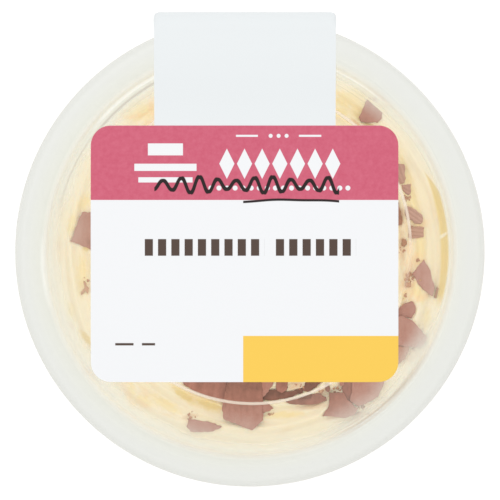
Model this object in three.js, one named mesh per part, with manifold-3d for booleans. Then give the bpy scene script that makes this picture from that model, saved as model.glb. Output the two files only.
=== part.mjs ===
// A trifle in a round lidded tub: a milky plastic tub filled with swirled custard cream and strewn with
// chocolate flakes, closed by a press-on lid with a recessed panel and a stacking ring, and sealed by one
// paper label that lies in the lid's recess, runs over the rim and is stuck to the side of the tub.
// Millimetres, +Z up. The origin is the middle of the foot, on the surface that the tub stands on, and +Y
// points towards the side where the label runs down.
import * as THREE from "three";
import { mergeVertices } from "three/addons/utils/BufferGeometryUtils.js";
import Module from "manifold-3d";

const wasm = await Module();
wasm.setup();

// ---- Driving dimensions ----
const GAP = 0.3; // air kept between two pieces
const TURN_STEPS = 64; // facets round the tub and the lid

const LID_RADIUS = 59; // foot of the skirt
const LID_TOP = 60; // top of the rim, the height of the whole tub
const LID_WALL = 0.9;
const SKIRT_HEIGHT = 9;
const SKIRT_DRAFT = 0.05; // how much narrower the skirt is at its top
const RIM_ROUNDING = 2.4;
const PANEL_DEPTH = 2.8; // from the rim down to the panel
const PLUG_RADIUS = 50.4; // inner wall of the recess, at the panel
const PLUG_DRAFT = 0.8;
const PLUG_ROUNDING = 0.8;
const RING_RADIUS = 39.7; // stacking ring on the panel
const RING_CENTRE = new THREE.Vector2(0.65, 1.55); // the ring is moulded a little off the lid's axis
const RING_HALF_WIDTH = 0.7;
const RING_HEIGHT = 0.5;

const TUB_WALL = 0.8;
const FOOT_INNER = 39.4;
const FOOT_OUTER = 42.2;
const FOOT_RECESS = 1;
const BASE_ROUNDING = 2.4;
const WALL_TOP = 54; // height at which the wall has its top radius
const WALL_TOP_RADIUS = 52.4;
const FLANGE_RADIUS = 56.4;
const FLANGE_TOP = 58.8;
const LIP_FOOT = 54.6; // how far down the rolled edge of the flange reaches

const CREAM_STEPS = 72; // facets round the cream
const CREAM_RINGS = 17; // rings of facets between its middle and its edge
const CREAM_EDGE = 52; // height of the cream at the wall
const CREAM_DOME = 2.9; // how much higher its middle is
const SWIRL_PITCH = 6.2; // distance between two turns of the spatula
const SWIRL_DEPTH = 0.55;

const FLAKE_THICKNESS = 0.9;
const STREWN_FLAKES = 11; // strewn in the middle, under the label
const STREWN_RADIUS = 27;

const LABEL_THICKNESS = 0.35;
const LABEL_CENTRE = new THREE.Vector2(-1.35, -0.5);
const LABEL_WIDTH = 77.2;
const LABEL_HEIGHT = 64.4;
const LABEL_CORNER = 5;
const TAIL_WIDTH = 45.3;
const TAIL_CORNER = 1; // how far the sides of the fold at the rim are drawn in
const TAIL_STEPS = 10; // facets across the tail
const TAIL_BEND = 3.2; // radius of the paper where it turns down at the rim
const TAIL_REACH = 60.3; // how far the turned paper stands out from the tub's axis
const TAIL_STUCK_FROM = 42.5; // height where the tail meets the tub
const TAIL_END = 27;

// ---- Small helpers ----
const radians = THREE.MathUtils.degToRad;

function point(radius, height) {
  return new THREE.Vector2(radius, height);
}

// Points along an arc in a profile, angles in degrees from the outward direction.
function arc(radius, height, size, from, to, steps = 3) {
  return Array.from({ length: steps + 1 }, (_, i) => {
    const angle = radians(from + ((to - from) * i) / steps);
    return point(radius + size * Math.cos(angle), height + size * Math.sin(angle));
  });
}

// A closed profile turned about +Z.
function turned(profile, steps) {
  return new THREE.LatheGeometry(profile, steps).rotateX(Math.PI / 2);
}

// A flat outline with a thickness, its underside at height zero.
function plate(outline, thickness, curveSegments = 6) {
  return new THREE.ExtrudeGeometry(outline, { depth: thickness, bevelEnabled: false, curveSegments });
}

// The geometry as a solid for joining and cutting: vertices at one place become one.
function solid(geometry) {
  const bare = new THREE.BufferGeometry().setAttribute("position", geometry.getAttribute("position"));
  bare.setIndex(geometry.index);
  const merged = mergeVertices(bare, 1e-3);
  return new wasm.Manifold(
    new wasm.Mesh({
      numProp: 3,
      vertProperties: merged.getAttribute("position").array,
      triVerts: new Uint32Array(merged.index.array),
    }),
  );
}

function geometryOf(manifold) {
  const mesh = manifold.getMesh();
  return new THREE.BufferGeometry()
    .setAttribute("position", new THREE.BufferAttribute(new Float32Array(mesh.vertProperties), 3))
    .setIndex(new THREE.BufferAttribute(new Uint32Array(mesh.triVerts), 1));
}

// Moves every vertex of a geometry by a function that changes the vector it is given.
function reshape(geometry, change) {
  const places = geometry.getAttribute("position");
  const place = new THREE.Vector3();
  for (let i = 0; i < places.count; i++) {
    place.fromBufferAttribute(places, i);
    change(place);
    places.setXYZ(i, place.x, place.y, place.z);
  }
  return geometry;
}

// Repeatable random numbers from 0 to 1.
function randomSource(seed) {
  let state = seed;
  return () => {
    state = (state * 16807) % 2147483647;
    return state / 2147483647;
  };
}

// ---- The tub ----
const WALL_FOOT = BASE_ROUNDING; // height where the wall starts above the rounded base
const WALL_FOOT_RADIUS = FOOT_OUTER + BASE_ROUNDING;
const WALL_SLOPE = (WALL_TOP_RADIUS - WALL_FOOT_RADIUS) / (WALL_TOP - WALL_FOOT);
const FLOOR_TOP = FOOT_RECESS + TUB_WALL;

function wallRadius(height) {
  return WALL_FOOT_RADIUS + (height - WALL_FOOT) * WALL_SLOPE;
}

function tubGeometry() {
  const flangeUnder = FLANGE_TOP - TUB_WALL;
  const wallUnderFlange = wallRadius(flangeUnder - TUB_WALL);
  const mouth = wallUnderFlange - TUB_WALL;
  const innerFoot = FLOOR_TOP + BASE_ROUNDING;
  const outside = [
    point(0, FOOT_RECESS),
    point(FOOT_INNER - FOOT_RECESS, FOOT_RECESS),
    point(FOOT_INNER, 0),
    ...arc(FOOT_OUTER, BASE_ROUNDING, BASE_ROUNDING, -90, 0, 4),
    ...arc(wallUnderFlange + TUB_WALL, flangeUnder - TUB_WALL, TUB_WALL, 180, 90, 2),
    point(FLANGE_RADIUS - TUB_WALL, flangeUnder),
    point(FLANGE_RADIUS - TUB_WALL, LIP_FOOT),
    point(FLANGE_RADIUS, LIP_FOOT),
    ...arc(FLANGE_RADIUS - TUB_WALL, flangeUnder, TUB_WALL, 0, 90, 2),
  ];
  const inside = [
    ...arc(mouth + TUB_WALL, flangeUnder, TUB_WALL, 90, 180, 2),
    point(wallRadius(innerFoot) - TUB_WALL, innerFoot),
    ...arc(FOOT_OUTER - TUB_WALL / 2, innerFoot, BASE_ROUNDING, -30, -90, 2),
    point(0, FLOOR_TOP),
  ];
  return turned([...outside, ...inside], TURN_STEPS);
}

// ---- The lid ----
const PANEL_TOP = LID_TOP - PANEL_DEPTH;
const PANEL_UNDER = PANEL_TOP - LID_WALL;

// The top of the panel from the middle out to the recess wall, with the stacking ring.
function panelProfile() {
  return [
    point(0, PANEL_TOP),
    point(RING_RADIUS - RING_HALF_WIDTH, PANEL_TOP),
    point(RING_RADIUS - RING_HALF_WIDTH / 2, PANEL_TOP + RING_HEIGHT),
    point(RING_RADIUS + RING_HALF_WIDTH / 2, PANEL_TOP + RING_HEIGHT),
    point(RING_RADIUS + RING_HALF_WIDTH, PANEL_TOP),
    point(PLUG_RADIUS - PLUG_ROUNDING, PANEL_TOP),
  ];
}

// The ring and what lies inside it are shifted; the shift dies away across the flat panel round it.
function shiftRing(place) {
  const shiftStart = RING_RADIUS + RING_HALF_WIDTH;
  const shiftEnd = PLUG_RADIUS - PLUG_ROUNDING;
  const radius = Math.hypot(place.x, place.y);
  const share = THREE.MathUtils.clamp((shiftEnd - radius) / (shiftEnd - shiftStart), 0, 1);
  place.x += RING_CENTRE.x * share;
  place.y += RING_CENTRE.y * share;
}

function lidGeometry() {
  const skirtFoot = LID_TOP - SKIRT_HEIGHT;
  const skirtTopRadius = LID_RADIUS - SKIRT_DRAFT;
  const rimInner = PLUG_RADIUS + PLUG_DRAFT;
  const rimUnder = LID_TOP - LID_WALL;
  const above = [
    ...panelProfile(),
    ...arc(PLUG_RADIUS - PLUG_ROUNDING, PANEL_TOP + PLUG_ROUNDING, PLUG_ROUNDING, -45, 0, 1),
    ...arc(rimInner + PLUG_ROUNDING, LID_TOP - PLUG_ROUNDING, PLUG_ROUNDING, 180, 90, 2),
    ...arc(skirtTopRadius - RIM_ROUNDING, LID_TOP - RIM_ROUNDING, RIM_ROUNDING, 90, 0, 4),
    point(LID_RADIUS, skirtFoot),
  ];
  const below = [
    point(LID_RADIUS - LID_WALL, skirtFoot),
    ...arc(skirtTopRadius - RIM_ROUNDING, LID_TOP - RIM_ROUNDING, RIM_ROUNDING - LID_WALL, 0, 90, 3),
    point(rimInner + LID_WALL, rimUnder),
    point(PLUG_RADIUS + LID_WALL, PANEL_TOP),
    point(PLUG_RADIUS, PANEL_UNDER),
    point(0, PANEL_UNDER),
  ];
  const ringRoof = PANEL_TOP + RING_HEIGHT + 0.01;
  return reshape(turned([...above, ...below].reverse(), TURN_STEPS), (place) => {
    if (place.z > PANEL_TOP - 0.01 && place.z < ringRoof) shiftRing(place);
  });
}

// ---- The cream ----
const CREAM_RADIUS = wallRadius(CREAM_EDGE) - TUB_WALL - GAP;

// Height of the cream over a place: a low dome with the ridges that a turning spatula leaves.
function creamHeight(x, y) {
  const radius = Math.hypot(x, y);
  const angle = Math.atan2(y, x);
  const share = Math.min(radius / CREAM_RADIUS, 1);
  const dome = CREAM_EDGE + CREAM_DOME * (1 - share ** 3);
  const wander = 0.9 * Math.sin(2 * angle + 0.6) + 0.6 * Math.sin(3 * angle - 1.1);
  const turns = (2 * Math.PI * radius) / SWIRL_PITCH + angle + wander;
  const fine = (4.6 * Math.PI * radius) / SWIRL_PITCH - 2 * angle + 1.3 * wander;
  const strength = SWIRL_DEPTH * Math.min(radius / 12, 1);
  return dome + strength * (Math.cos(turns) + 0.35 * Math.cos(fine));
}

function creamGeometry() {
  const innerFoot = FLOOR_TOP + BASE_ROUNDING;
  const sides = [
    point(0, FLOOR_TOP + GAP),
    point(FOOT_OUTER - 3 * GAP, FLOOR_TOP + GAP),
    point(wallRadius(innerFoot) - TUB_WALL - GAP, innerFoot + GAP),
    point(CREAM_RADIUS, CREAM_EDGE),
  ];
  const top = Array.from({ length: CREAM_RINGS }, (_, i) =>
    point(CREAM_RADIUS * (1 - (i + 1) / CREAM_RINGS), CREAM_EDGE + CREAM_DOME),
  );
  return reshape(turned([...sides, ...top], CREAM_STEPS), (place) => {
    if (place.z >= CREAM_EDGE - 0.01) place.z = creamHeight(place.x, place.y);
  });
}

// ---- The chocolate flakes ----
// A flake is told by how steeply it lies and the direction in which it rises, in degrees, the direction
// from +X, and by the corners of its outline seen from above.
function flake(tilt, rise, ...corners) {
  return { tilt, rise, corners };
}

// The flakes that lie in sight, from the left side of the lid round by the right to the near side.
const FLAKES = [
  flake(4, 0, [-42.4, 10.2], [-37.9, 9.7], [-38.4, 4], [-39.9, 0.5], [-45.2, 2.7]),
  flake(12, 90, [-42, -7.3], [-41.2, -7.6], [-40.6, -10.1], [-42.4, -11.1]),
  flake(6, 220, [29.9, 38.3], [33.7, 34.2], [32.7, 32.4], [27.8, 33.2]),
  flake(6, 180, [34.7, 22], [38.9, 22.2], [39.1, 17], [35.2, 16.5]),
  flake(10, 200, [38.2, 17], [40.5, 17], [40.5, 15], [39.4, 14.5], [38.2, 15.8]),
  flake(12, 150, [38.4, 14.8], [39.7, 13.8], [40.2, 12.5], [39.2, 12.3]),
  flake(9, 180, [36.2, 11.5], [37.9, 11.2], [38.9, 7], [35.9, 6.5]),
  flake(12, 250, [38.9, 11.5], [42.7, 10.2], [43.7, 8.5], [42.2, 7], [39.7, 8.2]),
  flake(12, 90, [40.2, 6], [43.7, 6], [43.7, 3.7], [40.2, 3.7]),
  flake(10, 0, [38.3, 3], [39.4, 2.6], [39.3, 0.9], [38.4, 1.3]),
  flake(6, 170, [44, -1.8], [45.5, -4.3], [47, -8.8], [46.5, -11.3], [42.5, -9.3], [40.7, -5.1]),
  flake(12, 200, [39.7, -4.6], [40.7, -6.1], [41, -8.8], [38.9, -9.1]),
  flake(8, 120, [36.7, -14.4], [41, -12.6], [42, -14.6], [40.7, -16.9], [35.7, -16.6]),
  flake(6, 150, [38.4, -16.4], [40.7, -16.9], [44.2, -20.9], [43, -23.9], [36, -23.1]),
  flake(10, 120, [34.7, -24.2], [39.2, -23.7], [38.4, -26.2], [36.9, -27.9]),
  flake(4, 90, [-17.6, -31.2], [-6.9, -30.7], [-7.4, -37.5], [-13.5, -35.5], [-16.8, -33.4]),
  flake(4, 80,
    [-5.2, -31.7], [3, -31.7], [3.5, -39.2], [3.3, -42.5],
    [0.5, -45], [-6.8, -42.2], [-7, -37.7]),
  flake(12, 180, [3, -38], [4.5, -38.5], [6.1, -39.5], [3.5, -40.7]),
  flake(12, 60, [2, -33.2], [6.3, -31.7], [6.6, -34], [8.8, -37.5], [3, -37.7]),
  flake(10, 100, [5.5, -36.5], [13.1, -34.2], [20.1, -31.7], [19.1, -33.7], [12.6, -36.7]),
  flake(10, 90, [9.6, -37.5], [19.6, -35.5], [19.1, -37], [16.6, -38.2], [12.6, -38.5]),
  flake(5, 90, [-15.5, -42.2], [-10, -43], [-7, -44.2], [-10, -45.5], [-15, -45.5], [-16, -44]),
  flake(7, 40, [20.1, -34.7], [25.1, -36.2], [25.6, -41.7], [22.6, -42.2], [18.6, -41.5]),
  flake(12, 120, [20.4, -31.7], [26.6, -31.2], [25.1, -35.7], [22.6, -33.7]),
  flake(6, 110,
    [23.6, -30.2], [34.2, -29.7], [33.9, -33.2], [31.7, -37.5],
    [26.6, -40.2], [25.1, -34.7]),
];

// Flakes strewn at random in the middle, the same on every run.
function strewnFlakes() {
  const random = randomSource(20417);
  return Array.from({ length: STREWN_FLAKES }, (_, i) => {
    const turn = i * 2.4;
    const reach = STREWN_RADIUS * Math.sqrt((i + 0.5) / STREWN_FLAKES);
    const corners = Array.from({ length: 5 }, (_, corner) => {
      const angle = (2 * Math.PI * (corner + 0.5 * random())) / 5;
      const size = 3.2 + 2.2 * random();
      return [
        reach * Math.cos(turn) + size * Math.cos(angle),
        reach * Math.sin(turn) + size * Math.sin(angle),
      ];
    });
    return flake(3 + 5 * random(), 360 * random(), ...corners);
  });
}

// A flake lies on the cream, pressed down where it would push against the lid.
function flakeSolid({ corners, tilt, rise }) {
  const outline = corners.map(([x, y]) => point(x, y));
  const middle = outline.reduce((sum, corner) => sum.add(corner), point(0, 0));
  middle.divideScalar(outline.length);
  outline.forEach((corner) => corner.sub(middle));
  const reach = Math.max(...outline.map((corner) => corner.length()));
  const ceiling = PANEL_UNDER - GAP - FLAKE_THICKNESS / 2 - reach * Math.sin(radians(tilt));
  const slab = plate(new THREE.Shape(outline), FLAKE_THICKNESS);
  slab.translate(0, 0, -FLAKE_THICKNESS / 2);
  slab.rotateZ(radians(-rise));
  slab.rotateY(radians(-tilt));
  slab.rotateZ(radians(rise));
  slab.translate(middle.x, middle.y, Math.min(creamHeight(middle.x, middle.y), ceiling));
  return solid(slab);
}

function creamWithFlakes() {
  const flakes = [...FLAKES, ...strewnFlakes()].map(flakeSolid);
  const whole = flakes.reduce((sum, flake) => sum.add(flake), solid(creamGeometry()));
  // Pockets that flakes close off between them are filled: only the outer skin is kept.
  const skins = whole.decompose().sort((a, b) => b.volume() - a.volume());
  return geometryOf(skins[0]);
}

// ---- The label ----
const LABEL_TOP_EDGE = LABEL_CENTRE.y + LABEL_HEIGHT / 2;

// A rectangle with round corners about the label's centre.
function labelOutline() {
  const right = LABEL_WIDTH / 2 - LABEL_CORNER;
  const top = LABEL_HEIGHT / 2 - LABEL_CORNER;
  const shape = new THREE.Shape();
  [
    [right, top, 0],
    [-right, top, 90],
    [-right, -top, 180],
    [right, -top, 270],
  ].forEach(([x, y, from]) => {
    const centre = LABEL_CENTRE.clone().add(point(x, y));
    shape.absarc(centre.x, centre.y, LABEL_CORNER, radians(from), radians(from + 90));
  });
  return shape;
}

// The panel of the label is cut from a sheet that lies on the lid and passes over the stacking ring.
function labelPanel() {
  const under = panelProfile().map((place) => point(place.x, place.y + GAP));
  const over = under.map((place) => point(place.x, place.y + LABEL_THICKNESS));
  const sheet = reshape(turned([...under, ...over.reverse()], TURN_STEPS), shiftRing);
  const cutter = plate(labelOutline(), PANEL_DEPTH).translate(0, 0, PANEL_TOP);
  return solid(sheet).intersect(solid(cutter));
}

// The underside of the tail, seen from the side, from the panel to its end: distance from the axis, height.
function tailPath() {
  const rimUnder = LID_TOP + GAP;
  const bendCentre = TAIL_REACH - LABEL_THICKNESS - TAIL_BEND;
  const clear = GAP * 1.5;
  return [
    point(LABEL_TOP_EDGE - 5, PANEL_TOP + GAP),
    point(LABEL_TOP_EDGE - 0.5, PANEL_TOP + RING_HEIGHT + GAP),
    point(LABEL_TOP_EDGE + 4, PANEL_TOP + RING_HEIGHT + GAP),
    point(LABEL_TOP_EDGE + 14, rimUnder),
    ...arc(bendCentre, rimUnder - TAIL_BEND, TAIL_BEND, 90, 0, 4),
    point(TAIL_REACH - LABEL_THICKNESS, LID_TOP - SKIRT_HEIGHT),
    point(wallRadius(TAIL_STUCK_FROM) + clear, TAIL_STUCK_FROM),
    point(wallRadius(TAIL_END) + clear, TAIL_END),
  ];
}

// The path's other side, one thickness of paper away, square to the path at each point.
function offsetPath(path, distance) {
  return path.map((place, i) => {
    const before = path[Math.max(i - 1, 0)];
    const after = path[Math.min(i + 1, path.length - 1)];
    const along = after.clone().sub(before).normalize();
    return point(place.x - along.y * distance, place.y + along.x * distance);
  });
}

function labelTail() {
  const under = tailPath();
  const over = offsetPath(under, LABEL_THICKNESS);
  const halfWidth = TAIL_WIDTH / 2;
  const tail = new THREE.ExtrudeGeometry(new THREE.Shape([...under, ...over.reverse()]), {
    depth: TAIL_WIDTH,
    steps: TAIL_STEPS,
    bevelEnabled: false,
  });
  // The side view is drawn in (distance, height) and extruded along the third axis, which becomes x.
  tail.translate(0, 0, -halfWidth);
  tail.applyMatrix4(new THREE.Matrix4().makeBasis(
    new THREE.Vector3(0, 1, 0),
    new THREE.Vector3(0, 0, 1),
    new THREE.Vector3(1, 0, 0),
  ));
  const skirtFoot = LID_TOP - SKIRT_HEIGHT;
  return reshape(tail, (place) => {
    // The facets are narrow near the sides, where the fold at the rim is drawn in.
    const side = 1 - (1 - Math.abs(place.x) / halfWidth) ** 2;
    const toSide = halfWidth * (1 - side);
    const drawn = TAIL_CORNER * (1 - Math.sqrt(1 - Math.max(1 - toSide / TAIL_CORNER, 0) ** 2));
    if (place.y > TAIL_REACH - TAIL_BEND - LABEL_THICKNESS) place.y -= drawn;
    place.x = Math.sign(place.x) * side * halfWidth + LABEL_CENTRE.x;
    // Below the skirt the paper is drawn on to the round wall.
    const stuck = THREE.MathUtils.clamp((skirtFoot - place.z) / (skirtFoot - TAIL_STUCK_FROM), 0, 1);
    place.y -= stuck * (place.y - Math.sqrt(place.y ** 2 - place.x ** 2));
  });
}

function labelGeometry() {
  return geometryOf(labelPanel().add(solid(labelTail())));
}

// ---- The whole ----
const milkyPlastic = { roughness: 0.35, metalness: 0, transparent: true };

function piece(name, geometry, material) {
  const mesh = new THREE.Mesh(geometry, new THREE.MeshStandardMaterial(material));
  mesh.name = name;
  return mesh;
}

const trifle = new THREE.Group();
trifle.name = "trifle";
trifle.add(
  piece("tub", tubGeometry(), { color: 0xedeee8, opacity: 0.55, ...milkyPlastic }),
  piece("cream", creamWithFlakes(), { color: 0xf5e2bd, roughness: 0.55, metalness: 0 }),
  piece("lid", lidGeometry(), { color: 0xedeee8, opacity: 0.45, ...milkyPlastic }),
  piece("label", labelGeometry(), { color: 0xf7f8fa, roughness: 0.6, metalness: 0 }),
);

export default trifle;
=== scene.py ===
# %% [markdown]
# # A trifle in a round lidded tub
#
# The object is a family dessert as it is sold. A thin milky tub is filled with custard cream, the cream is
# swirled with a spatula and strewn with broken chocolate flakes, a lid with a sunken panel is pressed on, and
# one paper label seals the two together.
#
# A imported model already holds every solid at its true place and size. It is loaded first and never moved.
# Each part is then made again with a finer mesh that takes the place of its solid, so that the sizes come
# from the model's boxes and nothing has to be fitted by eye.

# %% Load the fixed model
import math
import random

import bmesh
import bpy
from mathutils import Matrix, Vector, noise


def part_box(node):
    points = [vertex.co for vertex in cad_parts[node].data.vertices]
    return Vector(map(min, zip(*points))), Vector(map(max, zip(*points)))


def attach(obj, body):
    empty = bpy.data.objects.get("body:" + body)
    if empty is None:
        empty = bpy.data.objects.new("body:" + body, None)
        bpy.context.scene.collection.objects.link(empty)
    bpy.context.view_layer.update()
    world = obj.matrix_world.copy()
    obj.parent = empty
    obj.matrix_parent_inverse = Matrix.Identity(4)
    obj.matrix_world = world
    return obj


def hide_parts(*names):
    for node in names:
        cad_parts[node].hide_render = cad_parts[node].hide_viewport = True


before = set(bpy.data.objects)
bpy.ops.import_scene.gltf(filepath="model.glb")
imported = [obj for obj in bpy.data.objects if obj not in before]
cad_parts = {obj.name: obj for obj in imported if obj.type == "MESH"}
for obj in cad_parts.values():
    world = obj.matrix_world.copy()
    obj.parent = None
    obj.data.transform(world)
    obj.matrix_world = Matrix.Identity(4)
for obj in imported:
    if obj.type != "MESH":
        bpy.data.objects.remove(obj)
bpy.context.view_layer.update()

print("solids:", ", ".join(sorted(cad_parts)))

# %% [markdown]
# ## Sizes
#
# Blender works in metres here, and the parts are thought out in millimetres, so `MM` turns one into the
# other. The outer sizes are read from the boxes of the solids. The rest are wall thicknesses and roundings
# that a mould maker would write on the drawing.

# %% Sizes from the solids
MM = 0.001

lid_low, lid_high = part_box("lid")
_, tub_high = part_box("tub")
label_low, label_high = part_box("label")

LID_RADIUS = lid_high.x  # foot of the skirt
LID_TOP = lid_high.z
SKIRT_FOOT = lid_low.z
FLANGE_RADIUS = tub_high.x
FLANGE_TOP = tub_high.z
print(f"lid {2000 * LID_RADIUS:.1f} mm across, its top at {1000 * LID_TOP:.1f} mm")

# %% Sizes of the mouldings
LID_WALL = 0.9 * MM
PANEL_TOP = LID_TOP - 2.8 * MM
PANEL_UNDER = PANEL_TOP - LID_WALL
RECESS_FOOT = 50.4 * MM  # radius of the recess where its wall meets the panel
RECESS_TOP = 51.2 * MM
SKIRT_TOP = LID_RADIUS - 0.05 * MM
RIM_ROUNDING = 2.4 * MM
RING_RADIUS = 39.7 * MM  # stacking ring
RING_HALF_WIDTH = 0.8 * MM
RING_HEIGHT = 0.5 * MM
RING_CENTRE = Vector((0.65 * MM, 1.55 * MM))  # moulded a little off the lid's axis

TUB_WALL = 0.8 * MM
FOOT_RECESS = 1 * MM
FOOT_INNER = 39.4 * MM
BASE_ROUNDING = 2.4 * MM
WALL_FOOT_RADIUS = 44.6 * MM
WALL_SLOPE = 7.8 / 51.6  # how much wider the wall is for each unit of height
LIP_FOOT = 54.6 * MM


def wall_radius(height):
    """Outer radius of the tub's wall at a height."""
    return WALL_FOOT_RADIUS + (height - BASE_ROUNDING) * WALL_SLOPE


print(f"wall {1000 * wall_radius(BASE_ROUNDING):.1f} to {1000 * wall_radius(LIP_FOOT):.1f} mm in radius")

# %% [markdown]
# ## Helpers for turned parts
#
# A tub and its lid are round, so each is drawn as one line from the middle to the rim and spun about the
# upright axis. The corners of the line are rounded first, with a bevel on its vertices: a rounding costs one
# word there, and would be slow to add to the finished wall. Long stretches are cut, so that the soft shading
# of a rounding doesn't bleed over a flat face.

# %% Draw a line with rounded corners
ROUND_STEPS = 6
WELD = 0.001 * MM  # vertices closer than this become one


def round_corners(bm, points, corners, steps):
    """Round the points of a line or a face; a curve starts at its corner's last number before the point."""
    for point, (*_, reach) in zip(points, corners):
        if reach:
            bmesh.ops.bevel(
                bm, geom=[point], offset=reach, offset_type="OFFSET", affect="VERTICES",
                segments=steps, profile=0.5, material=-1,
            )


def rounded_line(bm, corners):
    """Join (radius, height, reach) corners in the XZ plane; a curve starts at reach before each corner."""
    points = [bm.verts.new((radius, 0, height)) for radius, height, _ in corners]
    for pair in zip(points, points[1:]):
        bm.edges.new(pair)
    round_corners(bm, points, corners, ROUND_STEPS)


def cut_long_edges(bm, longest):
    """Cut every edge that is longer than longest into even lengths."""
    for edge in bm.edges[:]:
        cuts = int(edge.calc_length() / longest)
        if cuts:
            bmesh.ops.subdivide_edges(bm, edges=[edge], cuts=cuts)


# %% Spin a line and give it a wall
def spin_round(bm, steps):
    """Spin all that is in the mesh about the upright axis, and close the seam and the poles."""
    bmesh.ops.spin(
        bm, geom=bm.verts[:] + bm.edges[:], cent=(0, 0, 0), axis=(0, 0, 1),
        angle=math.tau, steps=steps, use_merge=True,
    )
    bmesh.ops.remove_doubles(bm, verts=bm.verts, dist=WELD)
    bmesh.ops.recalc_face_normals(bm, faces=bm.faces)


def turn_middle(bm, upwards):
    """Turn the whole sheet over unless its middle faces the way that is asked for."""
    middle = min(bm.faces, key=lambda face: face.calc_center_median().xy.length)
    if (middle.normal.z > 0) != upwards:
        bmesh.ops.reverse_faces(bm, faces=bm.faces)


def thicken(bm, wall):
    """Give a sheet its wall, on the side away from its faces' normals."""
    bmesh.ops.solidify(bm, geom=bm.faces[:], thickness=wall)


# %% Make an object from a mesh
def shown(name, bm, smooth_angle=180):
    """Put a finished mesh in the scene, shaded smooth where its faces meet at less than smooth_angle."""
    mesh = bpy.data.meshes.new(name)
    bm.to_mesh(mesh)
    bm.free()
    mesh.shade_smooth()
    if smooth_angle < 180:
        mesh.set_sharp_from_angle(angle=math.radians(smooth_angle))
    made = bpy.data.objects.new(name, mesh)
    bpy.context.scene.collection.objects.link(made)
    print(f"{name}: {sum(len(face.vertices) - 2 for face in mesh.polygons)} triangles")
    return made


# %% [markdown]
# ## The tub
#
# A food tub is moulded with one even wall. It stands on a narrow ring round a base that is a little higher,
# so that it doesn't rock, widens upwards so that empty tubs nest, and ends in a flange with a turned-down
# edge that the lid snaps over. The line drawn is its outer side, and the wall grows inwards from it.

# %% Turn the tub
TURN_STEPS = 192
SPAN = 1.6 * MM  # longest stretch between two rings of vertices


def make_tub():
    flange_under = FLANGE_TOP - TUB_WALL
    lip_inner = FLANGE_RADIUS - TUB_WALL
    bm = bmesh.new()
    rounded_line(bm, [
        (0, FOOT_RECESS, 0),
        (FOOT_INNER - FOOT_RECESS, FOOT_RECESS, 0.5 * MM),
        (FOOT_INNER, 0, 0.5 * MM),
        (WALL_FOOT_RADIUS, 0, BASE_ROUNDING),
        (wall_radius(flange_under), flange_under, 0.9 * MM),
        (lip_inner, flange_under, 0.08 * MM),
        (lip_inner, LIP_FOOT, 0),
    ])
    cut_long_edges(bm, SPAN)
    spin_round(bm, TURN_STEPS)
    turn_middle(bm, upwards=False)
    thicken(bm, TUB_WALL)
    return shown("tub_shell", bm)


tub = make_tub()

# %% [markdown]
# ## The lid
#
# The lid is drawn from above: a flat panel, the wall of the recess, the rounded rim and the skirt. The
# stacking ring is a low bead on the panel. It is moulded off centre, so the panel's rings of vertices are
# first shifted towards its centre, dying out at the recess wall, and then those under the bead are raised.

# %% Shift the panel and raise the ring
RING_FULLNESS = 1.15  # above 1 the top of the bead is a little flat


def clamp(value):
    """The value, but never below 0 or above 1."""
    return min(max(value, 0), 1)


def smooth_step(value):
    """0 below 0, 1 above 1, and a soft S between them."""
    value = clamp(value)
    return value * value * (3 - 2 * value)


def shift_share(radius):
    """How much of the ring's shift a place on the panel takes part in."""
    inner = RING_RADIUS + RING_HALF_WIDTH
    outer = RECESS_FOOT - LID_WALL
    return clamp((outer - radius) / (outer - inner))


def ring_rise(x, y):
    """Height of the stacking ring over the panel at a place."""
    off = abs((Vector((x, y)) - RING_CENTRE).length - RING_RADIUS)
    return RING_HEIGHT * smooth_step(RING_FULLNESS * (1 - off / RING_HALF_WIDTH))


# %% Turn the lid
RING_CUTS = 9  # rings of vertices that are added under the bead


def make_lid():
    bm = bmesh.new()
    ring_start = RING_RADIUS - RING_HALF_WIDTH
    ring_end = RING_RADIUS + RING_HALF_WIDTH
    rounded_line(bm, [
        (0, PANEL_TOP, 0),
        (ring_start, PANEL_TOP, 0),
        (ring_end, PANEL_TOP, 0),
        (RECESS_FOOT, PANEL_TOP, 0.8 * MM),
        (RECESS_TOP, LID_TOP, 1.1 * MM),
        (SKIRT_TOP, LID_TOP, RIM_ROUNDING),
        (LID_RADIUS, SKIRT_FOOT, 0),
    ])
    on_ring = [edge for edge in bm.edges if all(
        ring_start - WELD < vert.co.x < ring_end + WELD for vert in edge.verts)]
    bmesh.ops.subdivide_edges(bm, edges=on_ring, cuts=RING_CUTS)
    cut_long_edges(bm, SPAN)
    spin_round(bm, TURN_STEPS)
    for vert in bm.verts:
        if vert.co.z < PANEL_TOP + WELD:
            vert.co.xy += RING_CENTRE * shift_share(vert.co.xy.length)
    turn_middle(bm, upwards=True)
    thicken(bm, LID_WALL)
    for vert in bm.verts:
        if PANEL_TOP - WELD < vert.co.z < PANEL_TOP + WELD:
            vert.co.z += ring_rise(vert.co.x, vert.co.y)
    return shown("lid_shell", bm)


lid = make_lid()

# %% [markdown]
# ## The cream
#
# The cream fills the tub and reaches just into its wall, as what fills a clear vessel has to, or a bright gap
# would show between the two. Its top is a low dome. A spatula that was turned once over it has left broad
# ridges with finer streaks along them, and where the crests touch the lid they are pressed flat.
#
# A fine disc is spun and each vertex of its top is lifted by one height function. A function is easier to
# steer than a sculpted mesh, and the flakes ask the same function how high they lie.

# %% The height of the cream
CREAM_EDGE = 52 * MM  # height at the wall
CREAM_DOME = 2.9 * MM  # how much higher the middle is
CREAM_RADIUS = wall_radius(CREAM_EDGE) - TUB_WALL / 2
SWIRL_PITCH = 6.2 * MM
SWIRL_DEPTH = 0.55 * MM
SWIRL_FROM = 12 * MM  # towards the middle the ridges die out
FINE_RIDGES = 2.3  # fine ridges to each broad one
FINE_SHARE = 0.35  # their depth beside that of the broad ones


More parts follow.
